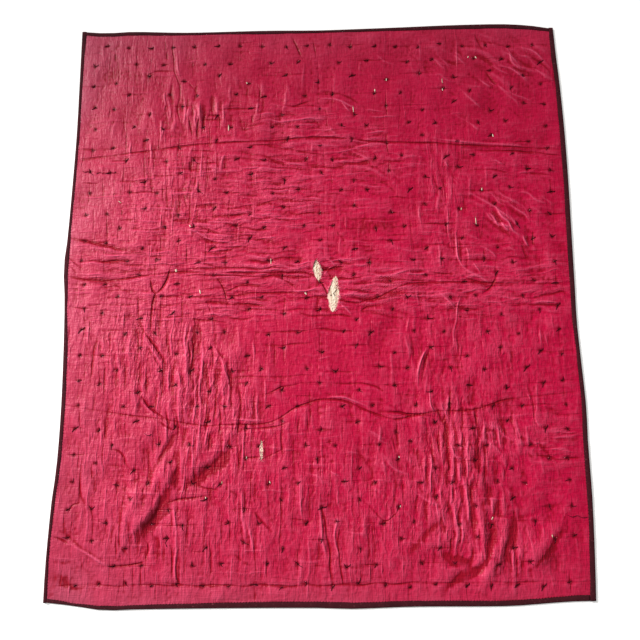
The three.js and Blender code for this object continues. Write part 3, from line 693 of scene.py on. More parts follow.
def sample(pattern, x, y):
    """The pattern's value at each point, blended between its four nearest samples."""
    u, v = x / SAMPLE + PATTERN_SHAPE[1] / 2, y / SAMPLE + PATTERN_SHAPE[0] / 2
    i, j = np.floor(u).astype(int), np.floor(v).astype(int)
    s, t = u - i, v - j
    rows, columns = PATTERN_SHAPE

    def at(di, dj):
        return pattern[(j + dj) % rows, (i + di) % columns]

    lower = at(0, 0) * (1 - s) + at(1, 0) * s
    upper = at(0, 1) * (1 - s) + at(1, 1) * s
    return lower * (1 - t) + upper * t


SWELL = pattern_of(7, 150, 190, 0.7)
CRUMPLE = pattern_of(8, 17, 21, 0.5)
SWELL_RISE, CRUMPLE_RISE = 1.2, 0.12


def pucker_strength(kind, x, y):
    """How strongly a kind of pucker shows at each point, for the finest lines in the material."""
    spots = PUCKER_SPOTS[kind] + PUCKER_SPOTS[PULLED_UP if kind == UPRIGHT else PULLED_ACROSS]
    strength = sum(s * bump(x, y, (at_x, at_y), (reach_x, reach_y))
                   for at_x, at_y, reach_x, reach_y, s in spots)
    return np.clip(LEAST_PUCKERED + strength, 0, MOST_PUCKERED)


print("swell", SWELL_RISE, "mm, crumple", CRUMPLE_RISE, "mm")

# %% [markdown]
# ## The whole relief
#
# A tie pulls the cloth down to the back, and short creases run from it along warp and weft, where the
# thread drags. The centre seam is a furrow with its allowances pressed to both sides under the cloth.
# Added up, these give the height of the cloth at any point, so that everything that lies on the quilt
# can be set down on it.

# %% Height of the cloth
LOFT = 6.0  # mm of sateen, batting and patchwork
THINNEST = 2.6
BINDING_LIP_Z = 5.3
TIE_DEPTH, TIE_REACH = 1.7, 9.0
EDGE_SOFTENING = 14.0


def draw_drags():
    """The short creases that run from each tie."""
    rng = np.random.default_rng(12)
    drags = []
    for x, y in TIES:
        for level, chance, reach in ((True, 0.5, (14, 80)), (False, 0.3, (10, 60))):
            before, after = rng.uniform(*reach), rng.uniform(*reach)
            drift = rng.normal(0, 2.0, 2)
            if rng.random() > chance:
                continue
            if level:
                path = [(x - before, y + drift[0]), (x, y), (x + after, y + drift[1])]
            else:
                path = [(x + drift[0], y - before), (x, y), (x + drift[1], y + after)]
            drags.append((-rng.uniform(0.3, 1.1), 3.2, path))
    return drags


DRAGS = draw_drags()


def tie_lift(x, y):
    """The dimple that each tie pulls."""
    lift = np.zeros_like(x)
    order = np.argsort(x)
    sorted_x = x[order]
    for tx, ty in TIES:
        first, last = np.searchsorted(sorted_x, (tx - 3 * TIE_REACH, tx + 3 * TIE_REACH))
        near = order[first:last]
        lift[near] -= TIE_DEPTH * np.exp(-((x[near] - tx) ** 2 + (y[near] - ty) ** 2) / TIE_REACH**2)
    return lift


# The seam's furrow, the allowances pressed to both sides, and the lines where they end:
# (rise, place from the seam and spread in mm, even share, share that ripples).
SEAM_FOLDS = [(-0.6, 0, 4.5, 1.0, 0.5), (0.45, -12, 9, 1.0, 0.0), (0.4, 9, 7, 1.0, 0.0),
        (-0.8, -26, 4, 0.6, 0.4), (-0.4, -48, 4, 1.0, 0.0)]
SEAM_PUCKER, SEAM_PUCKER_REACH = 0.3, 26.0  # mm


def seam_lift(x, y):
    """The furrow, the allowances and the puckers of the centre seam."""
    d = x - seam_x(y)
    ripple = sample(CRUMPLE, 0.35 * x, y)
    firmness = 0.6 + 0.35 * sample(SWELL, 0.2 * x, 1.1 * y)
    lift = sum(rise * np.exp(-(((d - at) / spread) ** 2)) * (even + uneven * ripple)
               for rise, at, spread, even, uneven in SEAM_FOLDS)
    return firmness * lift + SEAM_PUCKER * ripple * np.exp(-((d / SEAM_PUCKER_REACH) ** 2))


def from_binding(x, y):
    """mm from the inner edge of the nearest binding, below zero under it."""
    gaps = (
        x - outline(LEFT, y) - binding_width(LEFT, y),
        outline(RIGHT, y) - binding_width(RIGHT, y) - x,
        outline(HEAD, x) - binding_width(HEAD, x) - y,
        y - outline(FOOT, x) - binding_width(FOOT, x),
    )
    return np.minimum.reduce(gaps)


def lie(x, y, lines=None):
    """Height of the cloth's face at each point, in mm. lines, if given, keeps the creases' lines."""
    x, y = np.asarray(x, float), np.asarray(y, float)
    stray_x = CREASE_WANDER * sample(SWELL, 1.3 * x, 1.3 * y)
    stray_y = CREASE_WANDER * sample(SWELL, 1.3 * x + 400, 1.3 * y - 300)
    lift = SWELL_RISE * sample(SWELL, x, y) + CRUMPLE_RISE * sample(CRUMPLE, x, y)
    lift += tie_lift(x, y) + seam_lift(x, y)
    add_creases(lift, x, y, LONG_FOLDS + DRAGS, lines)
    add_creases(lift, x + stray_x, y + stray_y, CREASES + PUCKERS, lines)
    inside = np.clip(from_binding(x, y), 0, None)
    risen = 1 - np.exp(-inside / EDGE_SOFTENING)
    height = BINDING_LIP_Z + (LOFT - BINDING_LIP_Z) * risen + lift * risen
    return np.maximum(height, THINNEST)


middle_row = np.linspace(-880, 880, 9)
print("heights across the middle, mm:", lie(middle_row, np.full(9, 10.0)).round(1))

# %% [markdown]
# ## Closed shells
#
# A filled piece of cloth is a closed shell. Its face is a grid of points, and under the grid's edge
# come a few rings, the last of them filled as the underside. One function builds that for the sateen
# and for the batting.

# %% Build a shell
def grid_edge(rows, columns):
    """Numbers of a grid's outermost points, anticlockwise from above."""
    number = np.arange(rows * columns).reshape(rows, columns)
    return np.concatenate([number[0, :-1], number[:-1, -1], number[-1, :0:-1], number[:0:-1, 0]])


def band(upper, lower):
    """Faces between two rings of points, pointing outwards."""
    return np.column_stack([upper, lower, np.roll(lower, -1), np.roll(upper, -1)])


def shell(grid, rings):
    """Points, quads and last ring of a closed shell. grid is rows of points, rings lie below its edge."""
    rows, columns = grid.shape[:2]
    number = np.arange(rows * columns).reshape(rows, columns)
    corners = [number[:-1, :-1], number[:-1, 1:], number[1:, 1:], number[1:, :-1]]
    quads = [np.stack(corners, -1).reshape(-1, 4)]
    points = [grid.reshape(-1, 3)]
    upper = grid_edge(rows, columns)
    count = rows * columns
    for ring in rings:
        lower = count + np.arange(len(ring))
        quads.append(band(upper, lower))
        points.append(ring)
        upper = lower
        count += len(ring)
    return np.vstack(points), np.vstack(quads), upper


def add_mesh(name, points, faces, materials, smooth=True):
    """A finished object from points in mm. smooth may say so for each face."""
    mesh = bpy.data.meshes.new(name)
    mesh.from_pydata((np.asarray(points) * MM).tolist(), [], faces)
    for material in materials:
        mesh.materials.append(material)
    mesh.polygons.foreach_set("use_smooth", np.broadcast_to(smooth, len(faces)).astype(bool))
    mesh.update()
    piece = bpy.data.objects.new(name, mesh)
    scene.collection.objects.link(piece)
    return piece


def set_attribute(piece, name, values):
    layer = piece.data.attributes.new(name, "FLOAT", "POINT")
    layer.data.foreach_set("value", np.asarray(values, np.float32))


def triangles(piece):
    return sum(len(face.vertices) - 2 for face in piece.data.polygons)


# %% [markdown]
# ## Crimson sateen
#
# Cotton sateen is woven with most of the warp on its face, so it shines softly along the threads. This
# one was dyed crimson and has lain folded for a century. Its face is crushed into small flat facets
# between sharp bends, and each takes the light in its own way. Little of the shine is left. The ridges,
# the crests of the creases and the raised facets are painted paler and pinker, partly as wear and partly
# as painted highlight. The furrows, the lower facets, the broad hollows of the old folds and the dimple
# around each tie are painted a deeper crimson, as painted shade. The left side and both ends are painted
# paler, partly as a fade of the dye and partly as painted sheen of the window light, as on the side of a
# bed that stood near a window.

# %% Sateen material
THREAD = 2.6  # mm; real sateen has a thread every 0.25 mm, too fine to show
# Deeper crimson: the dye's own blotches and painted shade. Pink: wear and painted highlight.
# Pale rose: a fade of the dye and painted sheen of the window light.
CRIMSON, DEEP_CRIMSON_AND_SHADE, PINK_WEAR_AND_HIGHLIGHT, FADED_AND_SHEEN = "#c20a3f", "#94021c", "#e4567a", "#bd5f78"
# Colour of the painted shade in the dimple around each tie.
TIE_DIMPLE_SHADE = "#5e0a1e"
UPRIGHT_FACETS, LEVEL_FACETS = (17, 52, 400), (52, 16, 400)  # mm
FACET_MIDDLE = 0.55  # taken off the facets' pattern, so that it both rises and falls
FACET_WANDER = 0.02  # m that the facets stray from a straight grid
FACET_HEIGHT, LINE_HEIGHT = 2.8, 1.1  # mm of bump for each unit of the facets and of the creases' lines


def streaks(tree, place, size, detail=2.0, roughness=0.5):
    """Noise whose lumps are about size mm along X, Y and Z: threads, fibres, lines or blotches."""
    scale = [1000.0 / s for s in size]
    stretched = add_node(tree, "ShaderNodeVectorMath", {0: place, 1: scale}, operation="MULTIPLY")
    inputs = {"Vector": stretched, "Scale": 1.0, "Detail": detail, "Roughness": roughness}
    return add_node(tree, "ShaderNodeTexNoise", inputs)


def facets(tree, place, size):
    """Flat facets about size mm along X, Y and Z between sharp bends, as in cloth that was crushed."""
    wander = add_node(tree, "ShaderNodeTexNoise", {"Vector": place, "Scale": 28.0, "Detail": 2.0})
    moved = add_node(tree, "ShaderNodeVectorMath", {
        0: wander.outputs["Color"], 1: (FACET_WANDER, FACET_WANDER, 0.0), 2: place}, operation="MULTIPLY_ADD")
    scale = [1000.0 / s for s in size]
    stretched = add_node(tree, "ShaderNodeVectorMath", {0: moved, 1: scale}, operation="MULTIPLY")
    return add_node(tree, "ShaderNodeTexVoronoi", {"Vector": stretched, "Scale": 1.0, "Detail": 2.0,
                    "Roughness": 0.55, "Lacunarity": 2.1})


def stain(tree, colour, dye, pattern, start, full, most):
    """Mix a dye into the colour where a pattern is strong: nothing at start, and most at full."""
    share = add_node(tree, "ShaderNodeMapRange", {
        "Value": pattern, "From Min": start, "From Max": full, "To Min": 0.0, "To Max": most})
    mixed = add_node(tree, "ShaderNodeMix", {0: share, 6: colour, 7: linear(dye)}, data_type="RGBA")
    return mixed.outputs[2]


def sharp_lines(tree):
    """The lines of the creases, in mm of height, drawn finer than the grid from what its points keep."""
    total = 0.0
    for i in range(LINE_LAYERS):
        away = add_node(tree, "ShaderNodeAttribute", attribute_name=f"away_{i}").outputs["Fac"]
        depth = add_node(tree, "ShaderNodeAttribute", attribute_name=f"depth_{i}").outputs["Fac"]
        width = add_node(tree, "ShaderNodeMath", {0: away}, operation="ABSOLUTE")
        near = add_node(tree, "ShaderNodeMapRange", {"Value": width, "From Min": 0.0, "From Max": 1.0,
                        "To Min": 1.0, "To Max": 0.0}, interpolation_type="SMOOTHSTEP")
        total = add_node(tree, "ShaderNodeMath", {0: near, 1: depth, 2: total}, operation="MULTIPLY_ADD")
    return total


def make_sateen():
    material, tree = new_material("crimson cotton sateen")
    place = add_node(tree, "ShaderNodeTexCoord").outputs["Object"]
    ridge, fading, knot, upright, level = (
        add_node(tree, "ShaderNodeAttribute", attribute_name=name).outputs["Fac"]
        for name in ("ridge", "fading", "knot", UPRIGHT, LEVEL)
    )
    blotch = streaks(tree, place, (160, 210, 400), 3)
    mottle = streaks(tree, place, (9, 12, 12), 3, 0.65)
    warp = streaks(tree, place, (THREAD, 45, 60), 1)
    weft = streaks(tree, place, (45, THREAD, 60), 1)
    threads = add_node(tree, "ShaderNodeMath", {0: warp, 1: weft}, operation="ADD")
    lines = 0.0
    for size, strength in ((UPRIGHT_FACETS, upright), (LEVEL_FACETS, level)):
        evened = add_node(tree, "ShaderNodeMath", {0: facets(tree, place, size), 1: FACET_MIDDLE},
                          operation="SUBTRACT")
        lines = add_node(tree, "ShaderNodeMath", {0: evened, 1: strength, 2: lines}, operation="MULTIPLY_ADD")
    crease = sharp_lines(tree)
    # Paler at the left and the ends: partly a fade of the dye, partly painted sheen of the window light.
    faded_and_sheen = add_node(tree, "ShaderNodeMix", {0: fading, 6: linear(CRIMSON), 7: linear(FADED_AND_SHEEN)},
                     data_type="RGBA")
    colour = faded_and_sheen.outputs[2]
    for dye, pattern, start, full, most in (
        (DEEP_CRIMSON_AND_SHADE, blotch, 0.4, 0.7, 0.25),
        (DEEP_CRIMSON_AND_SHADE, threads, 0.7, 1.3, 0.14),
        # Painted shade on the lower facets, and painted highlight on the raised ones.
        (DEEP_CRIMSON_AND_SHADE, lines, -0.1, -0.5, 0.5),
        (PINK_WEAR_AND_HIGHLIGHT, lines, 0.3, 0.9, 0.25),
        (PINK_WEAR_AND_HIGHLIGHT, mottle, 0.5, 0.8, 0.08),
        # Painted shade along the furrows' sharp lines, and wear with painted highlight along the crests.
        (DEEP_CRIMSON_AND_SHADE, crease, -0.1, -1.8, 0.85),
        (PINK_WEAR_AND_HIGHLIGHT, crease, 0.2, 1.8, 0.6),
        # Wear with painted highlight on the ridges; painted shade in the hollows and along the old folds.
        (PINK_WEAR_AND_HIGHLIGHT, ridge, 0.2, 1.2, 0.25),
        (DEEP_CRIMSON_AND_SHADE, ridge, -0.1, -1.0, 0.88),
        # Painted shade in the dimple that each tie pulls.
        (TIE_DIMPLE_SHADE, knot, 0.25, 1.0, 0.7),
    ):
        colour = stain(tree, colour, dye, pattern, start, full, most)
    grain = threads
    for pattern, height in ((mottle, 1.0), (lines, FACET_HEIGHT), (crease, LINE_HEIGHT)):
        grain = add_node(tree, "ShaderNodeMath", {0: pattern, 1: height, 2: grain}, operation="MULTIPLY_ADD")
    bump = add_node(tree, "ShaderNodeBump", {"Height": grain, "Distance": 0.001, "Strength": 0.85})
    gloss = add_node(tree, "ShaderNodeMapRange", {"Value": mottle, "From Min": 0.3, "From Max": 0.7,
                     "To Min": 0.36, "To Max": 0.46})
    shader = add_node(tree, "ShaderNodeBsdfPrincipled", {
        "Base Color": colour, "Roughness": gloss, "Specular IOR Level": 0.15, "Normal": bump})
    finish_material(tree, shader)
    return material


sateen = make_sateen()
print("sateen has", len(sateen.node_tree.nodes), "nodes")

# %% [markdown]
# ## Plain cotton, batting, velvet and thread
#
# The underside is plain undyed cotton. The batting is carded cotton that has gone ivory, combed mostly
# one way. Velvet is a short dense pile: dark seen from above and paler at a grazing angle, which is what
# sheen does, and its pile has worn off in spots along the fold. Tie thread is waxed linen, of a very
# dark reddish brown.

# %% The other materials
PLAIN_COTTON, OLD_IVORY, BROWN_SHADE, ROSY_BATTING = "#d9cdb8", "#f5dfc8", "#ad7f5c", "#f0b0a6"
VELVET, VELVET_SHADE, VELVET_WORN, VELVET_SHEEN = "#45101a", "#2b080e", "#8a4a50", "#b0707c"
BLACK_THREAD, THREAD_SHEEN, FRAYED_PINK = "#34060f", "#5a1022", "#ee9aa6"


def rough_cloth(tree, colour, height, depth, strength, finish):
    """A shader for a dull woven or fibrous thing, with its height as bump (depth in m)."""
    bump = add_node(tree, "ShaderNodeBump", {"Height": height, "Distance": depth, "Strength": strength})
    inputs = {"Base Color": colour, "Normal": bump, **finish}
    finish_material(tree, add_node(tree, "ShaderNodeBsdfPrincipled", inputs))


def make_cotton():
    # Undyed plain weave: flat and matt, its threads crossing evenly and a little slubby.
    material, tree = new_material("undyed plain weave cotton")
    place = add_node(tree, "ShaderNodeTexCoord").outputs["Object"]
    across, along = streaks(tree, place, (1.6, 30, 30)), streaks(tree, place, (30, 1.6, 30))
    weave = add_node(tree, "ShaderNodeMath", {0: across, 1: along}, operation="ADD")
    colour = stain(tree, linear(PLAIN_COTTON), BROWN_SHADE, weave, 0.8, 1.2, 0.35)
    rough_cloth(tree, colour, weave, 0.0004, 0.5, {"Roughness": 0.85})
    return material


def make_batting():
    # Carded cotton: fibres combed along the warp, in soft clumps, matt and a little translucent.
    material, tree = new_material("carded cotton batting")
    place = add_node(tree, "ShaderNodeTexCoord").outputs["Object"]
    fibre = streaks(tree, place, (3.2, 60, 20), 1)
    clump = streaks(tree, place, (7, 30, 12), 2)
    rim = add_node(tree, "ShaderNodeAttribute", attribute_name="rim").outputs["Fac"]
    colour = stain(tree, linear(OLD_IVORY), BROWN_SHADE, fibre, 0.53, 0.68, 0.85)
    colour = stain(tree, colour, BROWN_SHADE, clump, 0.5, 0.75, 0.45)
    colour = stain(tree, colour, ROSY_BATTING, rim, 0.6, 1.0, 0.85)
    rough_cloth(tree, colour, fibre, 0.0012, 0.5, {"Roughness": 0.92})
    return material


def make_velvet():
    # Cotton velvet: a dense upright pile, dark from above and paler at the edge of the fold.
    material, tree = new_material("dark cotton velvet")
    place = add_node(tree, "ShaderNodeTexCoord").outputs["Object"]
    pile = streaks(tree, place, (1.5, 1.5, 1.5), 2)
    brushed = streaks(tree, place, (35, 35, 20), 3, 0.6)
    worn = streaks(tree, place, (7, 7, 7), 2, 0.6)
    colour = stain(tree, linear(VELVET), VELVET_SHADE, brushed, 0.35, 0.7, 0.5)
    colour = stain(tree, colour, VELVET_WORN, worn, 0.62, 0.74, 0.6)
    rough_cloth(tree, colour, pile, 0.0008, 0.7, {
        "Roughness": 0.9, "Sheen Weight": 0.35, "Sheen Roughness": 0.35, "Sheen Tint": linear(VELVET_SHEEN),
        "Specular IOR Level": 0.2})
    return material


def make_thread():
    # Waxed linen: two plies twisted hard, a very dark reddish brown, with a dull gleam.
    material, tree = new_material("waxed black tie thread")
    place = add_node(tree, "ShaderNodeTexCoord").outputs["Object"]
    twist = streaks(tree, place, (2.5, 2.5, 2.5), 1)
    colour = stain(tree, linear(BLACK_THREAD), THREAD_SHEEN, twist, 0.45, 0.7, 0.6)
    rough_cloth(tree, colour, twist, 0.0006, 0.5, {"Roughness": 0.8, "Specular IOR Level": 0.1})
    return material


def make_fray():
    # Loose crimson warp ends, broken and bleached: pale pink and matt.
    material, tree = new_material("frayed warp ends")
    place = add_node(tree, "ShaderNodeTexCoord").outputs["Object"]
    bleached = streaks(tree, place, (4, 6, 6), 2)
    colour = stain(tree, linear(FRAYED_PINK), PINK_WEAR_AND_HIGHLIGHT, bleached, 0.4, 0.7, 0.8)
    rough_cloth(tree, colour, bleached, 0.0004, 0.4, {"Roughness": 0.8})
    return material


plain_cotton, batting, velvet, thread, fray = (
    make() for make in (make_cotton, make_batting, make_velvet, make_thread, make_fray))
print("materials:", ", ".join(m.name for m in (sateen, plain_cotton, batting, velvet, thread, fray)))

# %% [markdown]
# ## The two halves
#
# Each half is one shell on a fine grid. Cloth that was pressed and tied for a century keeps its shape,
# so its folds are set here as heights instead of being found by a cloth simulation, which would move
# them. The squeezed edge lies inside the binding. At a worn place the threads have parted along the
# warp: one column of the grid is split there, and its two copies are pushed apart.

# %% Shape a half
HALF_COLUMNS, HALF_ROWS = 198, 456
EDGE_INSET = 3.2  # mm from the binding's outside to the cloth's own edge
UNDER_BINDING_Z = 1.6
UNDERSIDE_INSETS = (0.0, 17.0, 23.0)  # of the underside's rings, from the cloth's edge
RAISED_UNDERSIDE = 24.0  # mm from the outline, the squeezed part of the underside
FOLD_ROWS = 46  # how many rows bend with one that lies on a long fold
PART_REACH = 60.0  # how far a worn place pushes the threads aside
PIT_FLOOR = 2.0
LIP_RISE, LIP_REACH, CLOTH_THICKNESS, UNDERCUT = 0.9, 5.0, 0.5, 2.0

# The worn places: side, middle, half length and half width in mm, and lean in degrees.
TEARS = {
    "batting_upper": (LEFT, (-6, 84), (38, 14), 7),
    "batting_lower": (RIGHT, (52, -2), (64, 18), -5),
    "batting_slit": (LEFT, (-196, -537), (35, 5.5), 0),
}


def lerp(a, b, share):
    return a + (b - a) * share


def half_spot(side, u, v, inset=0.0, seam_inset=0.0):
    """Where the shares u, left to right, and v, foot to head, of a half lie, in mm. Each depends a
    little on the other, so the answer is bettered three times."""
    y = lerp(outline(FOOT, 0), outline(HEAD, 0), v)
    edge = EDGE_INSET + inset
    for _ in range(3):
        if side == LEFT:
            low, high = outline(LEFT, y) + edge, seam_x(y) - seam_inset
        else:
            low, high = seam_x(y) + seam_inset, outline(RIGHT, y) - edge
        x = lerp(low, high, u)
        y = lerp(outline(FOOT, x) + edge, outline(HEAD, x) - edge, v)
    return x, y


def from_outline(x, y):
    gaps = (x - outline(LEFT, y), outline(RIGHT, y) - x, outline(HEAD, x) - y, y - outline(FOOT, x))
    return np.minimum.reduce(gaps)


def tear_axis(tear, y):
    _, at, _, lean = tear
    return at[0] - math.tan(math.radians(lean)) * (y - at[1])


def tear_width(tear, y, seed):
    """Half width of a worn place at each y, with a ragged edge."""
    _, at, (half_length, half_width), _ = tear
    s = (y - at[1]) / half_length
    ragged = 1 + 0.05 * np.sin(7 * s + seed) + 0.04 * np.sin(29 * s + 2 * seed)
    lopsided = 1 + 0.16 * np.sin(2.2 * s + 1.7 * seed)
    return half_width * np.clip(1 - s**2, 0, None) ** 0.66 * ragged * lopsided


def part_column(x, y, tear):
    """Push the columns of a grid away from a worn place. Returns its column, rows and the second x."""
    row = np.argmin(np.abs(y[:, 0] - tear[1][1]))
    column = np.argmin(np.abs(x[row] - tear[1][0]))
    line = y[:, column]
    half_length = tear[2][0]
    fade = 1 - smooth_step(half_length, 1.8 * half_length, np.abs(line - tear[1][1]))
    shift = (tear_axis(tear, line) - x[:, column]) * fade
    room = np.minimum(PART_REACH, np.stack([x[:, column] - x[:, 0], x[:, -1] - x[:, column]]) - 1)
    away = x - x[:, [column]]
    near_left = np.clip(1 + away / room[0][:, None], 0, 1) * (away <= 0)
    near_right = np.clip(1 - away / room[1][:, None], 0, 1) * (away > 0)
    near = near_left + near_right
    left_width, right_width = tear_width(tear, line, 1), tear_width(tear, line, 2)
    x += shift[:, None] * near
    middle = x[:, column].copy()
    x += (near_right * right_width[:, None] - near_left * left_width[:, None]) * near**0.3
    rows = np.flatnonzero((left_width > 0.4) & (right_width > 0.4))
    return column, rows, (middle + right_width)[rows]


def lip(x, y):
    """How far the edges of the worn places curl up."""
    rise = np.zeros_like(x)
    for tear in TEARS.values():
        away = np.abs(x - tear_axis(tear, y)) - tear_width(tear, y, 1)
        inside = np.abs(y - tear[1][1]) < tear[2][0]
        rise += LIP_RISE * np.exp(-((away / LIP_REACH) ** 2)) * inside * min(1, tear[2][1] / 10)
    return rise


def rows_to_folds(x, y):
    """Bend the rows of a grid, so that one lies on each long fold."""
    number = np.arange(len(y))[:, None]
    middle = y.shape[1] // 2
    for _, _, path in LONG_FOLDS:
        line = smooth_path(path)
        fold_y = np.interp(x[len(y) // 2], line[:, 0], line[:, 1])
        row = np.argmin(np.abs(y[:, middle] - fold_y.mean()))
        near = 1 - smooth_step(0, FOLD_ROWS, np.abs(number - row))
        y += (fold_y - y[row]) * near


def make_half(side):
    u, v = np.meshgrid(np.linspace(0, 1, HALF_COLUMNS + 1), np.linspace(0, 1, HALF_ROWS + 1))
    x, y = half_spot(side, u, v)
    rows_to_folds(x, y)
    own_tears = [tear for tear in TEARS.values() if tear[0] == side]
    splits = [part_column(x, y, tear) for tear in own_tears]
    lines = [{"away": np.full(x.size, LINE_FAR), "depth": np.zeros(x.size)} for _ in range(LINE_LAYERS)]
    z = lie(x.ravel(), y.ravel(), lines).reshape(x.shape) + lip(x, y)
    edge = grid_edge(*x.shape)
    rings = []
    for inset, seam_inset in zip(UNDERSIDE_INSETS, (0.0, 1.0, 2.0)):
        ring_x, ring_y = half_spot(side, u.ravel()[edge], v.ravel()[edge], inset, seam_inset)
        ring_z = np.where(from_outline(ring_x, ring_y) < RAISED_UNDERSIDE, UNDER_BINDING_Z, 0.0)
        rings.append(np.column_stack([ring_x, ring_y, ring_z]))
    points, quads, last = shell(np.stack([x, y, z], -1), rings)
    faces, floors, extra = quads.tolist(), [last[::-1].tolist()], []
    top_faces = HALF_COLUMNS * HALF_ROWS
    for column, rows, second_x in splits:
        open_hole(points, faces, floors, extra, column, rows, second_x)
    points = np.vstack([points, *extra])
    faces += floors
    smooth = np.arange(len(faces)) < top_faces
    piece = add_mesh(f"{side}_half", points, faces, [sateen, plain_cotton], smooth)
    mark_rim(piece, top_faces)
    below = np.arange(len(faces)) >= top_faces + len(edge)
    piece.data.polygons.foreach_set("material_index", below.astype(np.int32))
    for i, layer in enumerate(lines):
        for label, values in layer.items():
            set_attribute(piece, f"{label}_{i}", np.pad(values, (0, len(points) - x.size)))
    return piece, z


def mark_rim(piece, top_faces):
    """Mark the edges between the smooth face and the flat walls, so that the walls don't shade it."""
    edges = np.empty(len(piece.data.loops), np.int32)
    piece.data.loops.foreach_get("edge_index", edges)
    times = np.bincount(edges[: 4 * top_faces], minlength=len(piece.data.edges))
    piece.data.edges.foreach_set("use_edge_sharp", times == 1)


def open_hole(points, faces, floors, extra, column, rows, second_x):
    """Split a column between its rows, and sink a pit with an undercut wall between the two sides."""
    width = HALF_COLUMNS + 1
    left = rows * width + column
    count = len(points) + sum(len(e) for e in extra)
    right = count + np.arange(len(rows))
    second = np.column_stack([second_x, points[left, 1], points[left, 2]])
    twin = dict(zip(left.tolist(), right.tolist()))
    for row in range(rows[0] - 1, rows[-1] + 1):
        quad = row * HALF_COLUMNS + column
        faces[quad] = [twin.get(corner, corner) for corner in faces[quad]]
    tips = [left[0] - width, left[-1] + width]
    loop = np.concatenate([[tips[0]], right, [tips[1]], left[::-1]])
    rim = np.vstack([points[tips[0]], second, points[tips[1]], points[left[::-1]]])
    middle = rim.mean(0)
    outwards = (rim - middle) * (1, 0, 0)
    outwards /= np.maximum(np.abs(outwards).max(1, keepdims=True), 1e-6)
    upper = loop
    extra.append(second)
    count += len(second)
    for drop, push in ((CLOTH_THICKNESS, 0.0), (CLOTH_THICKNESS + 0.1, UNDERCUT), (None, UNDERCUT)):
        ring = rim + outwards * push
        ring[:, 2] = PIT_FLOOR if drop is None else rim[:, 2] - drop
        lower = count + np.arange(len(ring))
        faces.extend(np.column_stack([upper, np.roll(upper, -1), np.roll(lower, -1), lower]).tolist())
        extra.append(ring)
        count += len(ring)
        upper = lower
    floors.append(upper.tolist())


# %% [markdown]
# ### Wear, paleness and painted light
#
# The ridges of the finished relief are painted paler, partly as wear and partly as painted highlight, and
# its hollows a deeper crimson, as painted shade. Both are found by comparing the height at each point
# with the height around it. The broad hollows of the old folds get the most painted shade, and they are
# listed like the creases.

# %% Add the ridges and furrows, with painted highlight and shade, and the paleness with painted sheen
BLUR_MARGIN = 24  # cells
NEAR, FAR = 1.2, 5  # cells over which the height around a point is averaged
FINE_RIDGE, BROAD_RIDGE, MOST_RIDGE = 0.45, 6, 1.5  # mm per unit of wear, painted highlight and painted shade, and most units
# Bands of painted shade along old folds: (how much painted shade, in ridge units, spread in mm, path).
SHADED_HOLLOWS = [
    (-1.4, 12, [(512, -395), (508, -465), (515, -536), (522, -600), (541, -640), (538, -730)]),
    (-1.4, 12, [(582, -775), (560, -840), (541, -889), (505, -918), (440, -946), (388, -992)]),
    (-1.0, 19, [(632, -760), (622, -815), (600, -880)]),
    (-1.3, 17, [(800, -788), (750, -850), (688, -912)]),
    (-1.1, 7, [(400, -408), (497, -403), (577, -386), (634, -370), (700, -362)]),
    (-0.8, 14, [(262, -880), (330, -835), (406, -757)]),
    (-0.8, 13, [(390, -862), (440, -885), (500, -897)]),
    (-1.2, 22, [(-298, -540), (-346, -586), (-396, -622), (-430, -648)]),
    (-1.1, 15, [(-482, -596), (-508, -690), (-565, -775), (-608, -815)]),
    (-0.9, 14, [(-882, -930), (-836, -955), (-788, -977)]),
    (-0.9, 9, [(-880, -760), (-806, -810), (-778, -853), (-691, -903)]),
    (-0.9, 8, [(-880, 206), (-790, 190), (-700, 170), (-615, 160)]),
    (-1.2, 6, [(-335, 68), (-230, 70), (-120, 66), (-30, 74)]),
    (-1.1, 6, [(66, -12), (120, -34), (190, -24), (300, 2)]),
    (-0.8, 6, [(80, 44), (200, 38), (330, 30)]),
    (-0.9, 9, [(300, 34), (480, 36), (620, 40), (860, 44)]),
    (-0.7, 26, [(-800, 830), (-690, 840), (-600, 815)]),
    (-0.8, 30, [(60, 260), (180, 250), (300, 262)]),
]


def blurred(height, cells):
    """The height averaged over a few cells each way."""
    height = np.pad(height, BLUR_MARGIN, mode="reflect", reflect_type="odd")
    ky = np.fft.fftfreq(height.shape[0])[:, None]
    kx = np.fft.fftfreq(height.shape[1])[None, :]
    keep = np.exp(-2 * (math.pi * cells) ** 2 * (kx**2 + ky**2))
    inside = slice(BLUR_MARGIN, -BLUR_MARGIN)
    return np.fft.ifft2(np.fft.fft2(height) * keep).real[inside, inside]


def fading(x, y):
    """Paleness 0 to 1, a fade of the dye and painted sheen: most at the left and ends, in broad patches."""
    at_left = 0.45 * np.exp(-(x + 880) / 300)
    at_foot = 0.4 * np.exp(-(y + 1030) / 90) * (1 - 0.4 * smooth_step(0, 500, x))
    at_head = np.exp((y - 1030) / 130) * (0.2 + 0.4 * np.exp(-(x + 880) / 260))
    patchy = 0.85 + 0.12 * sample(SWELL, 0.6 * x, 0.6 * y)
    return np.clip((at_left + at_foot + at_head) * patchy, 0, 1)


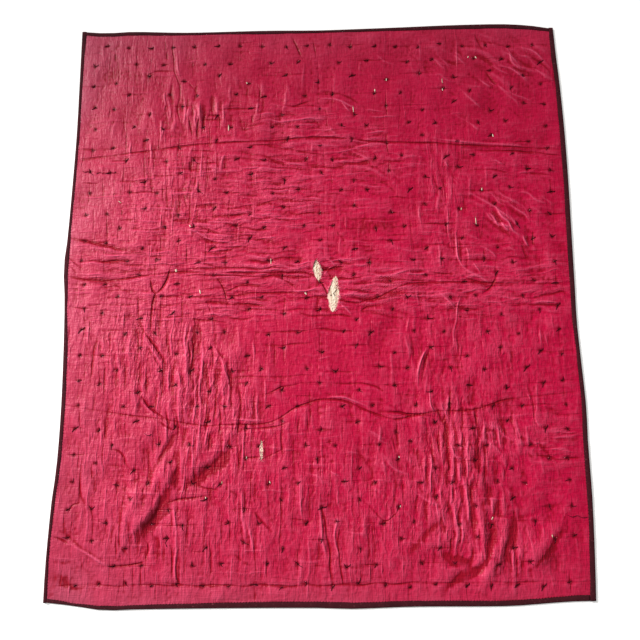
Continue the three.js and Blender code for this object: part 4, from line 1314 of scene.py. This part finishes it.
halves = []
for side in (LEFT, RIGHT):
    piece, height = make_half(side)
    ridge = np.zeros(len(piece.data.vertices))
    fine, broad = height - blurred(height, NEAR), height - blurred(height, FAR)
    ridge[: height.size] = (fine / FINE_RIDGE + broad / BROAD_RIDGE).ravel()
    spots = np.array([v.co for v in piece.data.vertices]) / MM
    # Bands of painted shade along the old folds.
    add_creases(ridge, spots[:, 0], spots[:, 1], SHADED_HOLLOWS)
    set_attribute(piece, "ridge", np.clip(ridge, -MOST_RIDGE, MOST_RIDGE))
    set_attribute(piece, "fading", fading(spots[:, 0], spots[:, 1]))
    set_attribute(piece, "knot", -tie_lift(spots[:, 0], spots[:, 1]) / TIE_DEPTH)
    for kind in (UPRIGHT, LEVEL):
        set_attribute(piece, kind, pucker_strength(kind, spots[:, 0], spots[:, 1]))
    halves.append(piece)
    print(piece.name, triangles(piece), "triangles, highest", round(height.max(), 1), "mm")

# %% [markdown]
# ## Batting in the worn places
#
# Where the sateen has worn through, the batting shows as a soft ivory cushion. It swells a little in
# the gap and is tucked under the torn edges. Each is a small closed shell on a fine grid, lumpy and
# streaked along the warp. A tie still holds the middle of the largest one down.

# %% Fill the worn places
PAD_ROWS, PAD_COLUMNS = 72, 24
PAD_TUCK = 1.6  # mm that the batting reaches under the torn edge
PAD_FLOOR, PAD_TOP, PAD_SWELL = 2.3, 4.9, 1.1
PAD_TIE_DEPTH, PAD_TIE_REACH = 1.6, 5.0


def make_pad(name, tear, seed):
    _, at, (half_length, half_width), _ = tear
    shares = [np.linspace(-1, 1, count + 1) for count in (PAD_ROWS, PAD_COLUMNS)]
    s, t = np.meshgrid(*shares, indexing="ij")
    y = at[1] + s * (half_length - 0.5)
    width = np.maximum(tear_width(tear, y, seed) + PAD_TUCK * (1 - s**4), 0.3)
    x = tear_axis(tear, y) + t * width
    crown = (1 - t**2) * (1 - s**2)
    lumps = 0.45 * sample(CRUMPLE, 4 * x, 1.7 * y + 50 * seed) + 0.35 * sample(CRUMPLE, 9 * x, 2 * y)
    z = PAD_TOP + PAD_SWELL * crown * (half_width / 18) + lumps * np.clip(3 * (1 - np.abs(t)), 0, 1)
    for tx, ty in TIES:
        z -= PAD_TIE_DEPTH * np.exp(-((x - tx) ** 2 + (y - ty) ** 2) / PAD_TIE_REACH**2)
    edge = grid_edge(*x.shape)
    side_ring = np.column_stack([x.ravel()[edge], y.ravel()[edge], np.full(len(edge), PAD_FLOOR)])
    points, quads, last = shell(np.stack([x, y, z], -1), [side_ring])
    faces = quads.tolist() + [last[::-1].tolist()]
    piece = add_mesh(name.replace("batting_", "worn_place_"), points, faces, [batting])
    rim = np.ones(len(points))
    rim[: x.size] = np.abs(t).ravel()
    set_attribute(piece, "rim", rim)
    return piece


pads = {name: make_pad(name, tear, i) for i, (name, tear) in enumerate(TEARS.items())}
print("batting:", ", ".join(f"{pad.name} {triangles(pad)} triangles" for pad in pads.values()))

# %% [markdown]
# ## The binding
#
# Four strips of velvet are folded over the edge and stitched down by hand, the side strips from corner
# to corner and the others between them. Each is one section, a U of folded velvet, carried along the
# outline. Its width wanders, and it swells a little between stitches.

# %% Fold the binding over the edge
BINDING_STEP = 5.0  # mm between sections
VELVET_WALL = 1.2
CHANNEL_Z = (1.3, 5.2)
BINDING_TOP_Z = 6.6
BINDING_CORNER_GAP = 0.3


def binding_section(width, swell):
    """Points of the folded strip as (distance in from the outline, height), for one width in mm."""
    low, high = CHANNEL_Z
    top = BINDING_TOP_Z + swell
    return [
        (width, 0.0), (width, low), (VELVET_WALL + 0.6, low), (VELVET_WALL, 2.4), (VELVET_WALL, 4.1),
        (VELVET_WALL + 0.6, high), (width - 0.4, high), (width, high + 0.5), (width - 0.9, top - 0.4),
        (width - 3.0, top), (0.5 * width + 1, top + 0.25), (4.2, top), (2.0, top - 0.6), (0.7, top - 1.8),
        (0.0, 4.3), (0.0, 2.2), (0.5, 1.0), (1.5, 0.25), (3.0, 0.0),
    ]


def make_binding(side):
    rng = np.random.default_rng(30 + SIDES.index(side))
    upright = side in (LEFT, RIGHT)
    if upright:
        low, high = OUTLINE[side][0][[0, -1]]
    else:
        end_y = outline(side, 0)
        low = outline(LEFT, end_y) + binding_width(LEFT, end_y) + BINDING_CORNER_GAP
        high = outline(RIGHT, end_y) - binding_width(RIGHT, end_y) - BINDING_CORNER_GAP
    count = int(round((high - low) / BINDING_STEP))
    along = np.linspace(low, high, count + 1)
    phases = rng.uniform(0, 2 * math.pi, 4)
    swell = 0.22 * np.sin(along / 23 + phases[0]) + 0.16 * np.sin(along / 9.5 + phases[1])
    wander = 0.5 * np.sin(along / 31 + phases[2]) + 0.35 * np.sin(along / 12 + phases[3])
    inward = 1 if side in (LEFT, FOOT) else -1
    points = []
    for i, t in enumerate(along):
        width = binding_width(side, t) + wander[i]
        for inset, height in binding_section(width, swell[i]):
            place, across = t, outline(side, t) + inward * inset
            if upright and i in (0, count):
                place = outline(FOOT if t < 0 else HEAD, across)
            points.append((across, place, height) if upright else (place, across, height))
    ring = len(binding_section(10, 0))
    number = np.arange((count + 1) * ring).reshape(count + 1, ring)
    quads = np.stack([
        number[:-1], np.roll(number, -1, 1)[:-1], np.roll(number, -1, 1)[1:], number[1:],
    ], -1).reshape(-1, 4)
    caps = [number[0, ::-1].tolist(), number[-1].tolist()]
    faces = quads.tolist() + caps
    if side in (LEFT, HEAD):
        faces = [face[::-1] for face in faces]
    return add_mesh(f"{side}_binding", points, faces, [velvet])


bindings = {side: make_binding(side) for side in SIDES}
print("binding:", ", ".join(f"{b.name} {triangles(b)} triangles" for b in bindings.values()))

# %% [markdown]
# ## Ties
#
# A tie is a stitch of waxed thread, knotted on this side and cut, so two short tails lie on the cloth.
# A few tie shapes are made one by one, and Geometry Nodes puts one of them on each place, turned and
# sized at random. Afterwards each point is set down on the cloth under it.

# %% Make a few ties by hand
TIE_SHAPES = 12
THREAD_WIDE = 1.9  # mm
TAIL_LENGTH = (6.0, 17.0)
KNOT_THICKER = 1.3


def tube(points, radius, sides=4):
    """Points and faces of a thin tube through the points, closed at both ends."""
    points = np.asarray(points, float)
    ring_points, faces = [], []
    for i, p in enumerate(points):
        ahead = points[min(i + 1, len(points) - 1)] - points[max(i - 1, 0)]
        ahead /= np.linalg.norm(ahead)
        aside = np.cross(ahead, (0, 0, 1.0))
        aside /= max(np.linalg.norm(aside), 1e-6)
        up = np.cross(aside, ahead)
        r = radius * (0.6 if i in (0, len(points) - 1) else 1.0)
        for k in range(sides):
            turn = 2 * math.pi * (k + 0.5) / sides
            ring_points.append(p + r * (math.cos(turn) * aside + math.sin(turn) * up))
    for i in range(len(points) - 1):
        for k in range(sides):
            a, b = i * sides + k, i * sides + (k + 1) % sides
            faces.append([a, b, b + sides, a + sides])
    last = (len(points) - 1) * sides
    faces += [list(range(sides))[::-1], [last + k for k in range(sides)]]
    return ring_points, faces


def tie_shape(number):
    """One tie, about its place: a knot of two turns, and two cut tails lying down."""
    rng = np.random.default_rng(50 + number)
    points, faces = [], []

    def add(more_points, more_faces):
        faces.extend([[len(points) + k for k in face] for face in more_faces])
        points.extend(more_points)

    r = THREAD_WIDE / 2
    spread = rng.uniform(1.5, 2.5)
    turns = [(-spread, -0.8, 0.2), (-0.7, 1.1, 1.9), (0.9, 0.9, 2.0), (spread, -1.0, 0.4)]
    add(*tube(turns, KNOT_THICKER * r))
    add(*tube([(-1.6, 1.8, 0.5), (0.1, 0.1, 2.4), (1.7, -1.5, 0.5)], KNOT_THICKER * r))
    heading = rng.uniform(-0.6, 0.6)
    for side in (0, 1):
        length = rng.uniform(*TAIL_LENGTH)
        bend, rise = rng.choice((-1, 1)) * rng.uniform(0.2, 1.5), rng.uniform(0.2, 1.6)
        start = heading + side * (math.pi + rng.uniform(-1.3, 1.3))
        path, at = [np.array([0.0, 0.0, 1.6])], start
        for step in range(1, 5):
            at += bend / 4
            forward = np.array([math.cos(at), math.sin(at), 0]) * length / 4
            path.append(path[-1] + forward)
            path[-1][2] = 0.7 + rise * math.sin(math.pi * step / 4)
        add(*tube(path, r))
    return points, faces


tie_parts = [add_mesh(f"tie_shape_{i}", *tie_shape(i), [thread]) for i in range(TIE_SHAPES)]
print("each tie has", triangles(tie_parts[0]), "triangles")

# %% [markdown]
# ### The scattering tree
#
# The tree takes a cloud of points, picks a shape for each from a collection, and reads each point's
# own turn and size from attributes. One tree serves for the ties, the nicks and the loose fibres.

# %% A tree that puts shapes on points
def scatter_tree():
    tree = bpy.data.node_groups.new("shapes on points", "GeometryNodeTree")
    face = tree.interface
    face.new_socket("Geometry", in_out="INPUT", socket_type="NodeSocketGeometry")
    face.new_socket("Shapes", in_out="INPUT", socket_type="NodeSocketCollection")
    face.new_socket("Material", in_out="INPUT", socket_type="NodeSocketMaterial")
    face.new_socket("Size", in_out="INPUT", socket_type="NodeSocketFloat").default_value = 1.0
    face.new_socket("Geometry", in_out="OUTPUT", socket_type="NodeSocketGeometry")
    given = add_node(tree, "NodeGroupInput")
    shapes = add_node(tree, "GeometryNodeCollectionInfo", {"Collection": given.outputs["Shapes"],
                      "Separate Children": True, "Reset Children": True})
    number = add_node(tree, "GeometryNodeInputNamedAttribute", {"Name": "shape"}, data_type="INT")
    turn = add_node(tree, "GeometryNodeInputNamedAttribute", {"Name": "turn"}, data_type="FLOAT")
    share = add_node(tree, "GeometryNodeInputNamedAttribute", {"Name": "size"}, data_type="FLOAT")
    spin = add_node(tree, "ShaderNodeCombineXYZ", {"Z": turn.outputs[0]})
    grown = add_node(tree, "ShaderNodeMath", {0: share.outputs[0], 1: given.outputs["Size"]},
                     operation="MULTIPLY")
    placed = add_node(tree, "GeometryNodeInstanceOnPoints", {
        "Points": given.outputs["Geometry"], "Instance": shapes.outputs[0], "Pick Instance": True,
        "Instance Index": number.outputs[0], "Rotation": spin.outputs[0], "Scale": grown.outputs[0],
    })
    real = add_node(tree, "GeometryNodeRealizeInstances", {"Geometry": placed.outputs[0]})
    finished = add_node(tree, "GeometryNodeSetMaterial",
                        {"Geometry": real.outputs[0], "Material": given.outputs["Material"]})
    add_node(tree, "NodeGroupOutput", {"Geometry": finished.outputs[0]})
    return tree


SCATTER = scatter_tree()
print("the tree has", len(SCATTER.nodes), "nodes")


# %% Grow a piece from a tree and set it down on the cloth
def grown(holder, tree, given, helpers, lift, heights):
    """Turn a modifier's result into a plain mesh, and set each of its points down on what is under it."""
    modifier = holder.modifiers.new("shapes", "NODES")
    modifier.node_group = tree
    names = {item.name: item.identifier for item in tree.interface.items_tree if item.in_out == "INPUT"}
    for name, value in given.items():
        modifier[names[name]] = value
    finished = holder.evaluated_get(bpy.context.evaluated_depsgraph_get())
    result = bpy.data.meshes.new_from_object(finished)
    start = holder.data
    holder.modifiers.clear()
    holder.data = result
    bpy.data.meshes.remove(start)
    result.name = holder.name
    spots = np.array([v.co for v in result.vertices])
    spots[:, 2] += (heights(spots[:, :2] / MM) + lift) * MM
    result.vertices.foreach_set("co", spots.ravel())
    result.update()
    for helper in helpers:
        bpy.data.objects.remove(helper)
    return holder


def on_cloth(spots):
    return lie(spots[:, 0], spots[:, 1])


def scatter(name, places, turns, sizes, numbers, shapes, material, lift=0.0, heights=on_cloth):
    """One mesh of shapes on the given places in mm, lying on the cloth."""
    collection = bpy.data.collections.new(name + " shapes")
    for shape in shapes:
        collection.objects.link(shape)
        scene.collection.objects.unlink(shape)
    cloud = bpy.data.meshes.new(name)
    flat = np.column_stack([places, np.zeros(len(places))]) * MM
    cloud.from_pydata(flat.tolist(), [], [])
    given = (("turn", "FLOAT", np.float32, turns), ("size", "FLOAT", np.float32, sizes),
             ("shape", "INT", np.int32, numbers))
    for label, kind, dtype, values in given:
        layer = cloud.attributes.new(label, kind, "POINT")
        layer.data.foreach_set("value", np.asarray(values, dtype))
    holder = bpy.data.objects.new(name, cloud)
    scene.collection.objects.link(holder)
    given = {"Shapes": collection, "Material": material, "Size": 1.0}
    piece = grown(holder, SCATTER, given, shapes, lift, heights)
    bpy.data.collections.remove(collection)
    return piece


def cloth_or_pad(spots):
    """Height of what shows under each point: the cloth, or the batting in a worn place."""
    x, y = spots[:, 0], spots[:, 1]
    height = lie(x, y)
    for tear in TEARS.values():
        over = np.abs(x - tear_axis(tear, y)) < tear_width(tear, y, 0)
        height = np.where(over, np.minimum(height, PAD_TOP + 0.3), height)
    return height


rng = np.random.default_rng(60)
turns = rng.normal(0, 0.35, len(TIES))
upright_ties = rng.random(len(TIES)) < 0.18
turns[upright_ties] += math.pi / 2
sizes, numbers = rng.uniform(0.72, 1.18, len(TIES)), rng.integers(0, TIE_SHAPES, len(TIES))
ties = scatter("ties", TIES, turns, sizes, numbers, tie_parts, thread, lift=-0.5, heights=cloth_or_pad)
print("ties:", triangles(ties), "triangles")

# %% [markdown]
# ## Small damage and lint
#
# Where sateen is worn thin a few warp threads break, and a slender nick shows the ivory batting. Bits of
# batting have also been drawn through the tie holes. Both are small lens-shaped lumps, put on their
# places by the same tree. The ragged edges of the worn places carry broken warp ends.

# %% Nicks and lint
# (x, y, length along the warp, width) in mm, and lean in degrees.
NICKS = [
    (-330, 623, 31, 5, 0), (-715, 339, 15, 4, 55), (-266, 802, 10, 7, 20), (209, 769, 12, 6, 10),
    (253, 813, 14, 5, -8), (128, 693, 30, 3.5, 4), (460, 770, 13, 5, 0), (459, 804, 26, 2.5, 2),
    (589, 901, 12, 6, 30), (560, 901, 10, 5, -20), (637, 587, 13, 5, 8), (587, 381, 14, 5, 0),
    (510, 307, 12, 5, -12), (559, 261, 34, 4, 5), (-504, 85, 12, 11, 0), (-417, 8, 20, 5, 12),
    (-460, 248, 11, 5, 35), (-170, 117, 30, 3.5, 2), (-47, 0, 12, 8, 40), (-325, -640, 12, 5, 0),
    (-166, -640, 11, 5, 15), (565, -757, 13, 5, -25), (757, -813, 12, 5, 10), (-245, -560, 9, 4, 0),
    (265, -560, 9, 4, 20), (265, -718, 9, 4, -10), (-378, -690, 10, 4, 0),
]
NICK_WIDER, NICK_RISE = 0.8, 1.2  # as a share of the width, and in mm
LINT_SHARE = 0.2  # of the ties
LINT_SIZE = (2.0, 4.2)  # mm long


def lens(length, width, height, steps=8):
    """A slender dome, pointed at both ends, closed underneath."""
    points, faces = [(0, -length / 2, 0)], []
    for i in range(1, steps):
        t = i / steps
        half = 0.5 * width * math.sin(math.pi * t) ** 0.8
        y = length * (t - 0.5)
        crest = height * math.sin(math.pi * t) ** 0.5
        points += [(-half, y, 0), (-0.55 * half, y, 0.8 * crest), (0.55 * half, y, crest), (half, y, 0)]
    points.append((0, length / 2, 0))
    last = len(points) - 1
    for k in range(4):
        ahead = (k + 1) % 4
        faces.append([0, 1 + k, 1 + ahead][::-1])
        for i in range(steps - 2):
            a, b = 1 + 4 * i, 5 + 4 * i
            faces.append([a + k, a + ahead, b + ahead, b + k][::-1])
        faces.append([last, last - 4 + ahead, last - 4 + k][::-1])
    return points, faces


def place_nicks():
    spots = np.array([nick[:2] for nick in NICKS], float)
    shapes = [add_mesh(f"nick_{i:02d}", *lens(length, NICK_WIDER * width, NICK_RISE), [batting])
              for i, (_, _, length, width, _) in enumerate(NICKS)]
    turns = [math.radians(nick[4]) for nick in NICKS]
    return scatter("nicks", spots, turns, np.ones(len(NICKS)), np.arange(len(NICKS)), shapes, batting, 0.2)


def place_lint():
    rng = np.random.default_rng(70)
    chosen = TIES[rng.random(len(TIES)) < LINT_SHARE]
    spots = chosen + rng.normal(0, 5.0, chosen.shape)
    shape = add_mesh("bit_of_lint", *lens(1.0, 0.5, 0.3, 5), [fray])
    turns, sizes = rng.uniform(0, math.pi, len(spots)), rng.uniform(*LINT_SIZE, len(spots))
    return scatter("lint", spots, turns, sizes, np.zeros(len(spots)), [shape], fray, 0.2)


nicks, lint = place_nicks(), place_lint()
print("nicks:", triangles(nicks), "triangles, lint:", triangles(lint))


# %% Broken warp ends
ENDS_PER_TEAR = {"batting_upper": 46, "batting_lower": 80, "batting_slit": 26}
WARP_END_SHAPES = 6


def warp_end(number):
    """One loose end, about 9 mm long, starting at its place and curling a little."""
    rng = np.random.default_rng(80 + number)
    path, at = [np.zeros(3)], rng.uniform(-0.5, 0.5)
    for step in range(3):
        at += rng.uniform(-0.5, 0.5)
        path.append(path[-1] + np.array([2.6 * math.sin(at), 2.6 * math.cos(at), 0.3 * (1 - step)]))
    return tube(path, 0.55, 3)


def place_ends():
    rng = np.random.default_rng(90)
    spots, turns = [], []
    for name, tear in TEARS.items():
        for _ in range(ENDS_PER_TEAR[name]):
            y = tear[1][1] + rng.uniform(-0.97, 0.97) * tear[2][0]
            side = rng.choice((-1, 1), p=(0.35, 0.65))
            x = tear_axis(tear, y) + side * (tear_width(tear, y, 2 if side > 0 else 1) - 0.8)
            spots.append((x, y))
            turns.append(rng.choice((0, math.pi)) + side * rng.uniform(-0.2, 0.9))
    count = len(spots)
    shapes = [add_mesh(f"warp_end_{i}", *warp_end(i), [fray]) for i in range(WARP_END_SHAPES)]
    sizes, numbers = rng.uniform(0.6, 1.5, count), rng.integers(0, WARP_END_SHAPES, count)
    return scatter("frayed_ends", spots, turns, sizes, numbers, shapes, fray, lift=0.9, heights=cloth_or_pad)


frayed_ends = place_ends()
print("frayed ends:", triangles(frayed_ends), "triangles")

# %% [markdown]
# ### Long tails
#
# A few ties were never trimmed, and one in the largest worn place has been pulled loose. Their tails are
# listed as paths over the cloth, and built with the same thin tube.

# %% Lay the long tails
LONG_TAILS = [
    [(-856, 458), (-848, 452), (-838, 455), (-828, 449)],
    [(-806, 446), (-792, 451), (-776, 446), (-758, 453), (-744, 450), (-736, 455)],
    [(812, -748), (828, -754), (844, -750), (862, -757), (878, -754)],
    [(52, 22), (60, 14), (55, 6), (50, -2), (56, -8)],
    [(48, 2), (54, -5), (52, -14), (58, -20)],
    [(58, 30), (63, 24), (60, 18)],
    [(-500, -845), (-506, -830), (-498, -818), (-504, -806)],
    [(-590, -478), (-578, -486), (-566, -482)],
]
TAIL_THINNER, TAIL_LIFT = 0.85, 0.9


def lay_tails():
    points, faces = [], []
    for path in LONG_TAILS:
        line = smooth_path(path)
        height = cloth_or_pad(line) + TAIL_LIFT
        more, sides = tube(np.column_stack([line, height]), THREAD_WIDE / 2 * TAIL_THINNER)
        faces += [[len(points) + k for k in face] for face in sides]
        points += more
    return add_mesh("long_tails", points, faces, [thread])


tails = lay_tails()
print("long tails:", len(LONG_TAILS), "threads,", triangles(tails), "triangles")

# %% [markdown]
# ## Whip stitches
#
# The binding's inner edge is sewn to the face by hand with small slanting stitches. They follow a line,
# so a second tree turns the edge into a curve, steps along it by the stitch length and sets one stitch
# at each step, turned with the curve and a little at random.

# %% A tree that sews along a line
STITCH_STEP = 9.5  # mm; the real ones are nearer 4 mm apart, too fine to show
STITCH_LONG, STITCH_WIDE = 4.6, 0.9


def stitch_tree():
    tree = bpy.data.node_groups.new("stitches along a line", "GeometryNodeTree")
    face = tree.interface
    face.new_socket("Geometry", in_out="INPUT", socket_type="NodeSocketGeometry")
    face.new_socket("Stitch", in_out="INPUT", socket_type="NodeSocketObject")
    face.new_socket("Material", in_out="INPUT", socket_type="NodeSocketMaterial")
    for name, value in (("Step", STITCH_STEP * MM), ("Slant", 0.6), ("Unevenness", 0.25)):
        face.new_socket(name, in_out="INPUT", socket_type="NodeSocketFloat").default_value = value
    face.new_socket("Geometry", in_out="OUTPUT", socket_type="NodeSocketGeometry")
    given = add_node(tree, "NodeGroupInput").outputs
    line = add_node(tree, "GeometryNodeMeshToCurve", {"Mesh": given["Geometry"]})
    steps = add_node(tree, "GeometryNodeResampleCurve", {"Curve": line, "Length": given["Step"]},
                     mode="LENGTH")
    ahead = add_node(tree, "GeometryNodeInputTangent")
    apart = add_node(tree, "ShaderNodeSeparateXYZ", {0: ahead}).outputs
    heading = add_node(tree, "ShaderNodeMath", {0: apart["Y"], 1: apart["X"]}, operation="ARCTAN2")
    slanted = add_node(tree, "ShaderNodeMath", {0: heading, 1: given["Slant"]}, operation="ADD")
    least = add_node(tree, "ShaderNodeMath", {0: given["Unevenness"], 1: -1.0}, operation="MULTIPLY")
    chance = add_node(tree, "FunctionNodeRandomValue", {2: least, 3: given["Unevenness"], 8: 5},
                      data_type="FLOAT")
    turned = add_node(tree, "ShaderNodeMath", {0: slanted, 1: chance.outputs[1]}, operation="ADD")
    spin = add_node(tree, "ShaderNodeCombineXYZ", {"Z": turned})
    kept = add_node(tree, "GeometryNodeCaptureAttribute", {"Geometry": steps})
    kept.capture_items.new("VECTOR", "turn")
    tree.links.new(spin.outputs[0], kept.inputs["turn"])
    shape = add_node(tree, "GeometryNodeObjectInfo", {"Object": given["Stitch"]})
    placed = add_node(tree, "GeometryNodeInstanceOnPoints", {
        "Points": kept, "Instance": shape.outputs["Geometry"], "Rotation": kept.outputs["turn"]})
    real = add_node(tree, "GeometryNodeRealizeInstances", {"Geometry": placed})
    finished = add_node(tree, "GeometryNodeSetMaterial", {"Geometry": real, "Material": given["Material"]})
    add_node(tree, "NodeGroupOutput", {"Geometry": finished})
    return tree


STITCHES = stitch_tree()
print("the stitch tree has", len(STITCHES.nodes), "nodes")


# %% Sew the binding down
SEWING_STEP = 12.0  # mm between points of the line
CORNER_ROOM = 24.0  # mm at each end of a line without stitches


def binding_or_cloth(spots):
    """Height of the binding's rolled inner edge, or of the cloth beside it."""
    inside = from_binding(spots[:, 0], spots[:, 1])
    cloth = lie(spots[:, 0], spots[:, 1])
    top, drop, start, end = 6.5, 0.5, -1.5, 0.6  # mm
    return np.where(inside < end, top - drop * smooth_step(start, end, inside), cloth)


def sew():
    points, edges = [], []
    for side in SIDES:
        low, high = OUTLINE[side][0][[0, -1]] + (CORNER_ROOM, -CORNER_ROOM)
        along = np.arange(low, high, SEWING_STEP)
        inward = 1 if side in (LEFT, FOOT) else -1
        across = outline(side, along) + inward * (binding_width(side, along) + 0.2)
        line = [along, across] if side in (HEAD, FOOT) else [across, along]
        first = len(points)
        points += np.column_stack([*line, np.zeros(len(along))]).tolist()
        edges += [(first + i, first + i + 1) for i in range(len(along) - 1)]
    mesh = bpy.data.meshes.new("whip_stitches")
    mesh.from_pydata((np.array(points) * MM).tolist(), edges, [])
    holder = bpy.data.objects.new("whip_stitches", mesh)
    scene.collection.objects.link(holder)
    half = STITCH_LONG / 2
    shape = add_mesh("one_stitch", *tube([(-half, 0, -0.2), (-0.3 * half, 0, 0.7), (0.3 * half, 0, 0.7),
                     (half, 0, -0.2)], STITCH_WIDE / 2), [thread])
    return grown(holder, STITCHES, {"Stitch": shape, "Material": thread}, [shape], 0.1, binding_or_cloth)


stitches = sew()
print("whip stitches:", triangles(stitches), "triangles")

# %% [markdown]
# ## Light and floor
#
# Two plain soft lights stand at the left and upper left: a broad one, as from the sky, and a lamp that
# rakes over the creases and falls off to the right. The room fills the rest. The floor is pale enough
# to be white, and keeps the quilt's own soft shadow.

# %% Light the quilt
def add_spot(name, at, target, cone, watts):
    lamp = bpy.data.lights.new(name, "SPOT")
    lamp.energy = watts
    lamp.spot_size, lamp.spot_blend = math.radians(cone), 1.0
    lamp.shadow_soft_size = 0.35
    holder = bpy.data.objects.new(name, lamp)
    aim = Vector(target) - Vector(at)
    holder.matrix_world = Matrix.Translation(at) @ aim.to_track_quat("-Z", "Y").to_matrix().to_4x4()
    scene.collection.objects.link(holder)


def add_sun(name, direction, strength, softness):
    lamp = bpy.data.lights.new(name, "SUN")
    lamp.energy = strength
    lamp.angle = math.radians(softness)
    holder = bpy.data.objects.new(name, lamp)
    holder.matrix_world = Vector(direction).to_track_quat("Z", "Y").to_matrix().to_4x4()
    scene.collection.objects.link(holder)


add_sun("skylight", (-0.9, 0.6, 0.6), 3.1, 14)
add_spot("lantern", (-3.6, 1.3, 2.5), (-0.1, -0.5, 0.0), 40, 650)

world = bpy.data.worlds.new("room")
scene.world = world
world.use_nodes = True
world.node_tree.nodes.clear()
fill = add_node(world.node_tree, "ShaderNodeBackground", {"Color": linear("#fffdf9"), "Strength": 0.25})
add_node(world.node_tree, "ShaderNodeOutputWorld", {"Surface": fill.outputs[0]})


# %% Lay the floor
def make_floor_material():
    material, tree = new_material("white painted floor")
    rays = add_node(tree, "ShaderNodeLightPath").outputs
    seen = add_node(tree, "ShaderNodeMath", {0: rays["Is Camera Ray"], 1: rays["Is Glossy Ray"]},
                    operation="MAXIMUM")
    seen = add_node(tree, "ShaderNodeMath", {0: seen, 1: rays["Is Transmission Ray"]}, operation="MAXIMUM")
    paint = add_node(tree, "ShaderNodeBsdfPrincipled", {"Base Color": linear("#f4f3f1"), "Roughness": 0.8})
    glow = add_node(tree, "ShaderNodeEmission", {"Color": linear("#ffffff"), "Strength": 0.4})
    both = add_node(tree, "ShaderNodeAddShader", {0: paint.outputs[0], 1: glow.outputs[0]})
    mixed = add_node(tree, "ShaderNodeMixShader", {0: seen, 1: paint.outputs[0], 2: both.outputs[0]})
    finish_material(tree, mixed)
    return material


FLOOR_HALF = 6000  # mm
FLOOR_Z = -0.6
corners = [(x * FLOOR_HALF, y * FLOOR_HALF, FLOOR_Z) for x, y in ((-1, -1), (1, -1), (1, 1), (-1, 1))]
floor = add_mesh("floor", corners, [[0, 1, 2, 3]], [make_floor_material()], False)

# %% [markdown]
# ## Attach the pieces
#
# Every piece rides on the one body, and the two halves, the batting and the bindings take the place of
# their CAD solids.

for side, piece in zip((LEFT, RIGHT), halves):
    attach(piece, "root")
    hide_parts(f"sateen_{side}")
for name, pad in pads.items():
    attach(pad, "root")
    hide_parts(name)
for side, piece in bindings.items():
    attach(piece, "root")
    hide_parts(f"binding_{side}")
for piece, finish in ((ties, "binding"), (tails, "binding"), (stitches, "binding"), (nicks, "batting"),
                      (frayed_ends, "sateen"), (lint, "sateen")):
    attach(piece, "root")
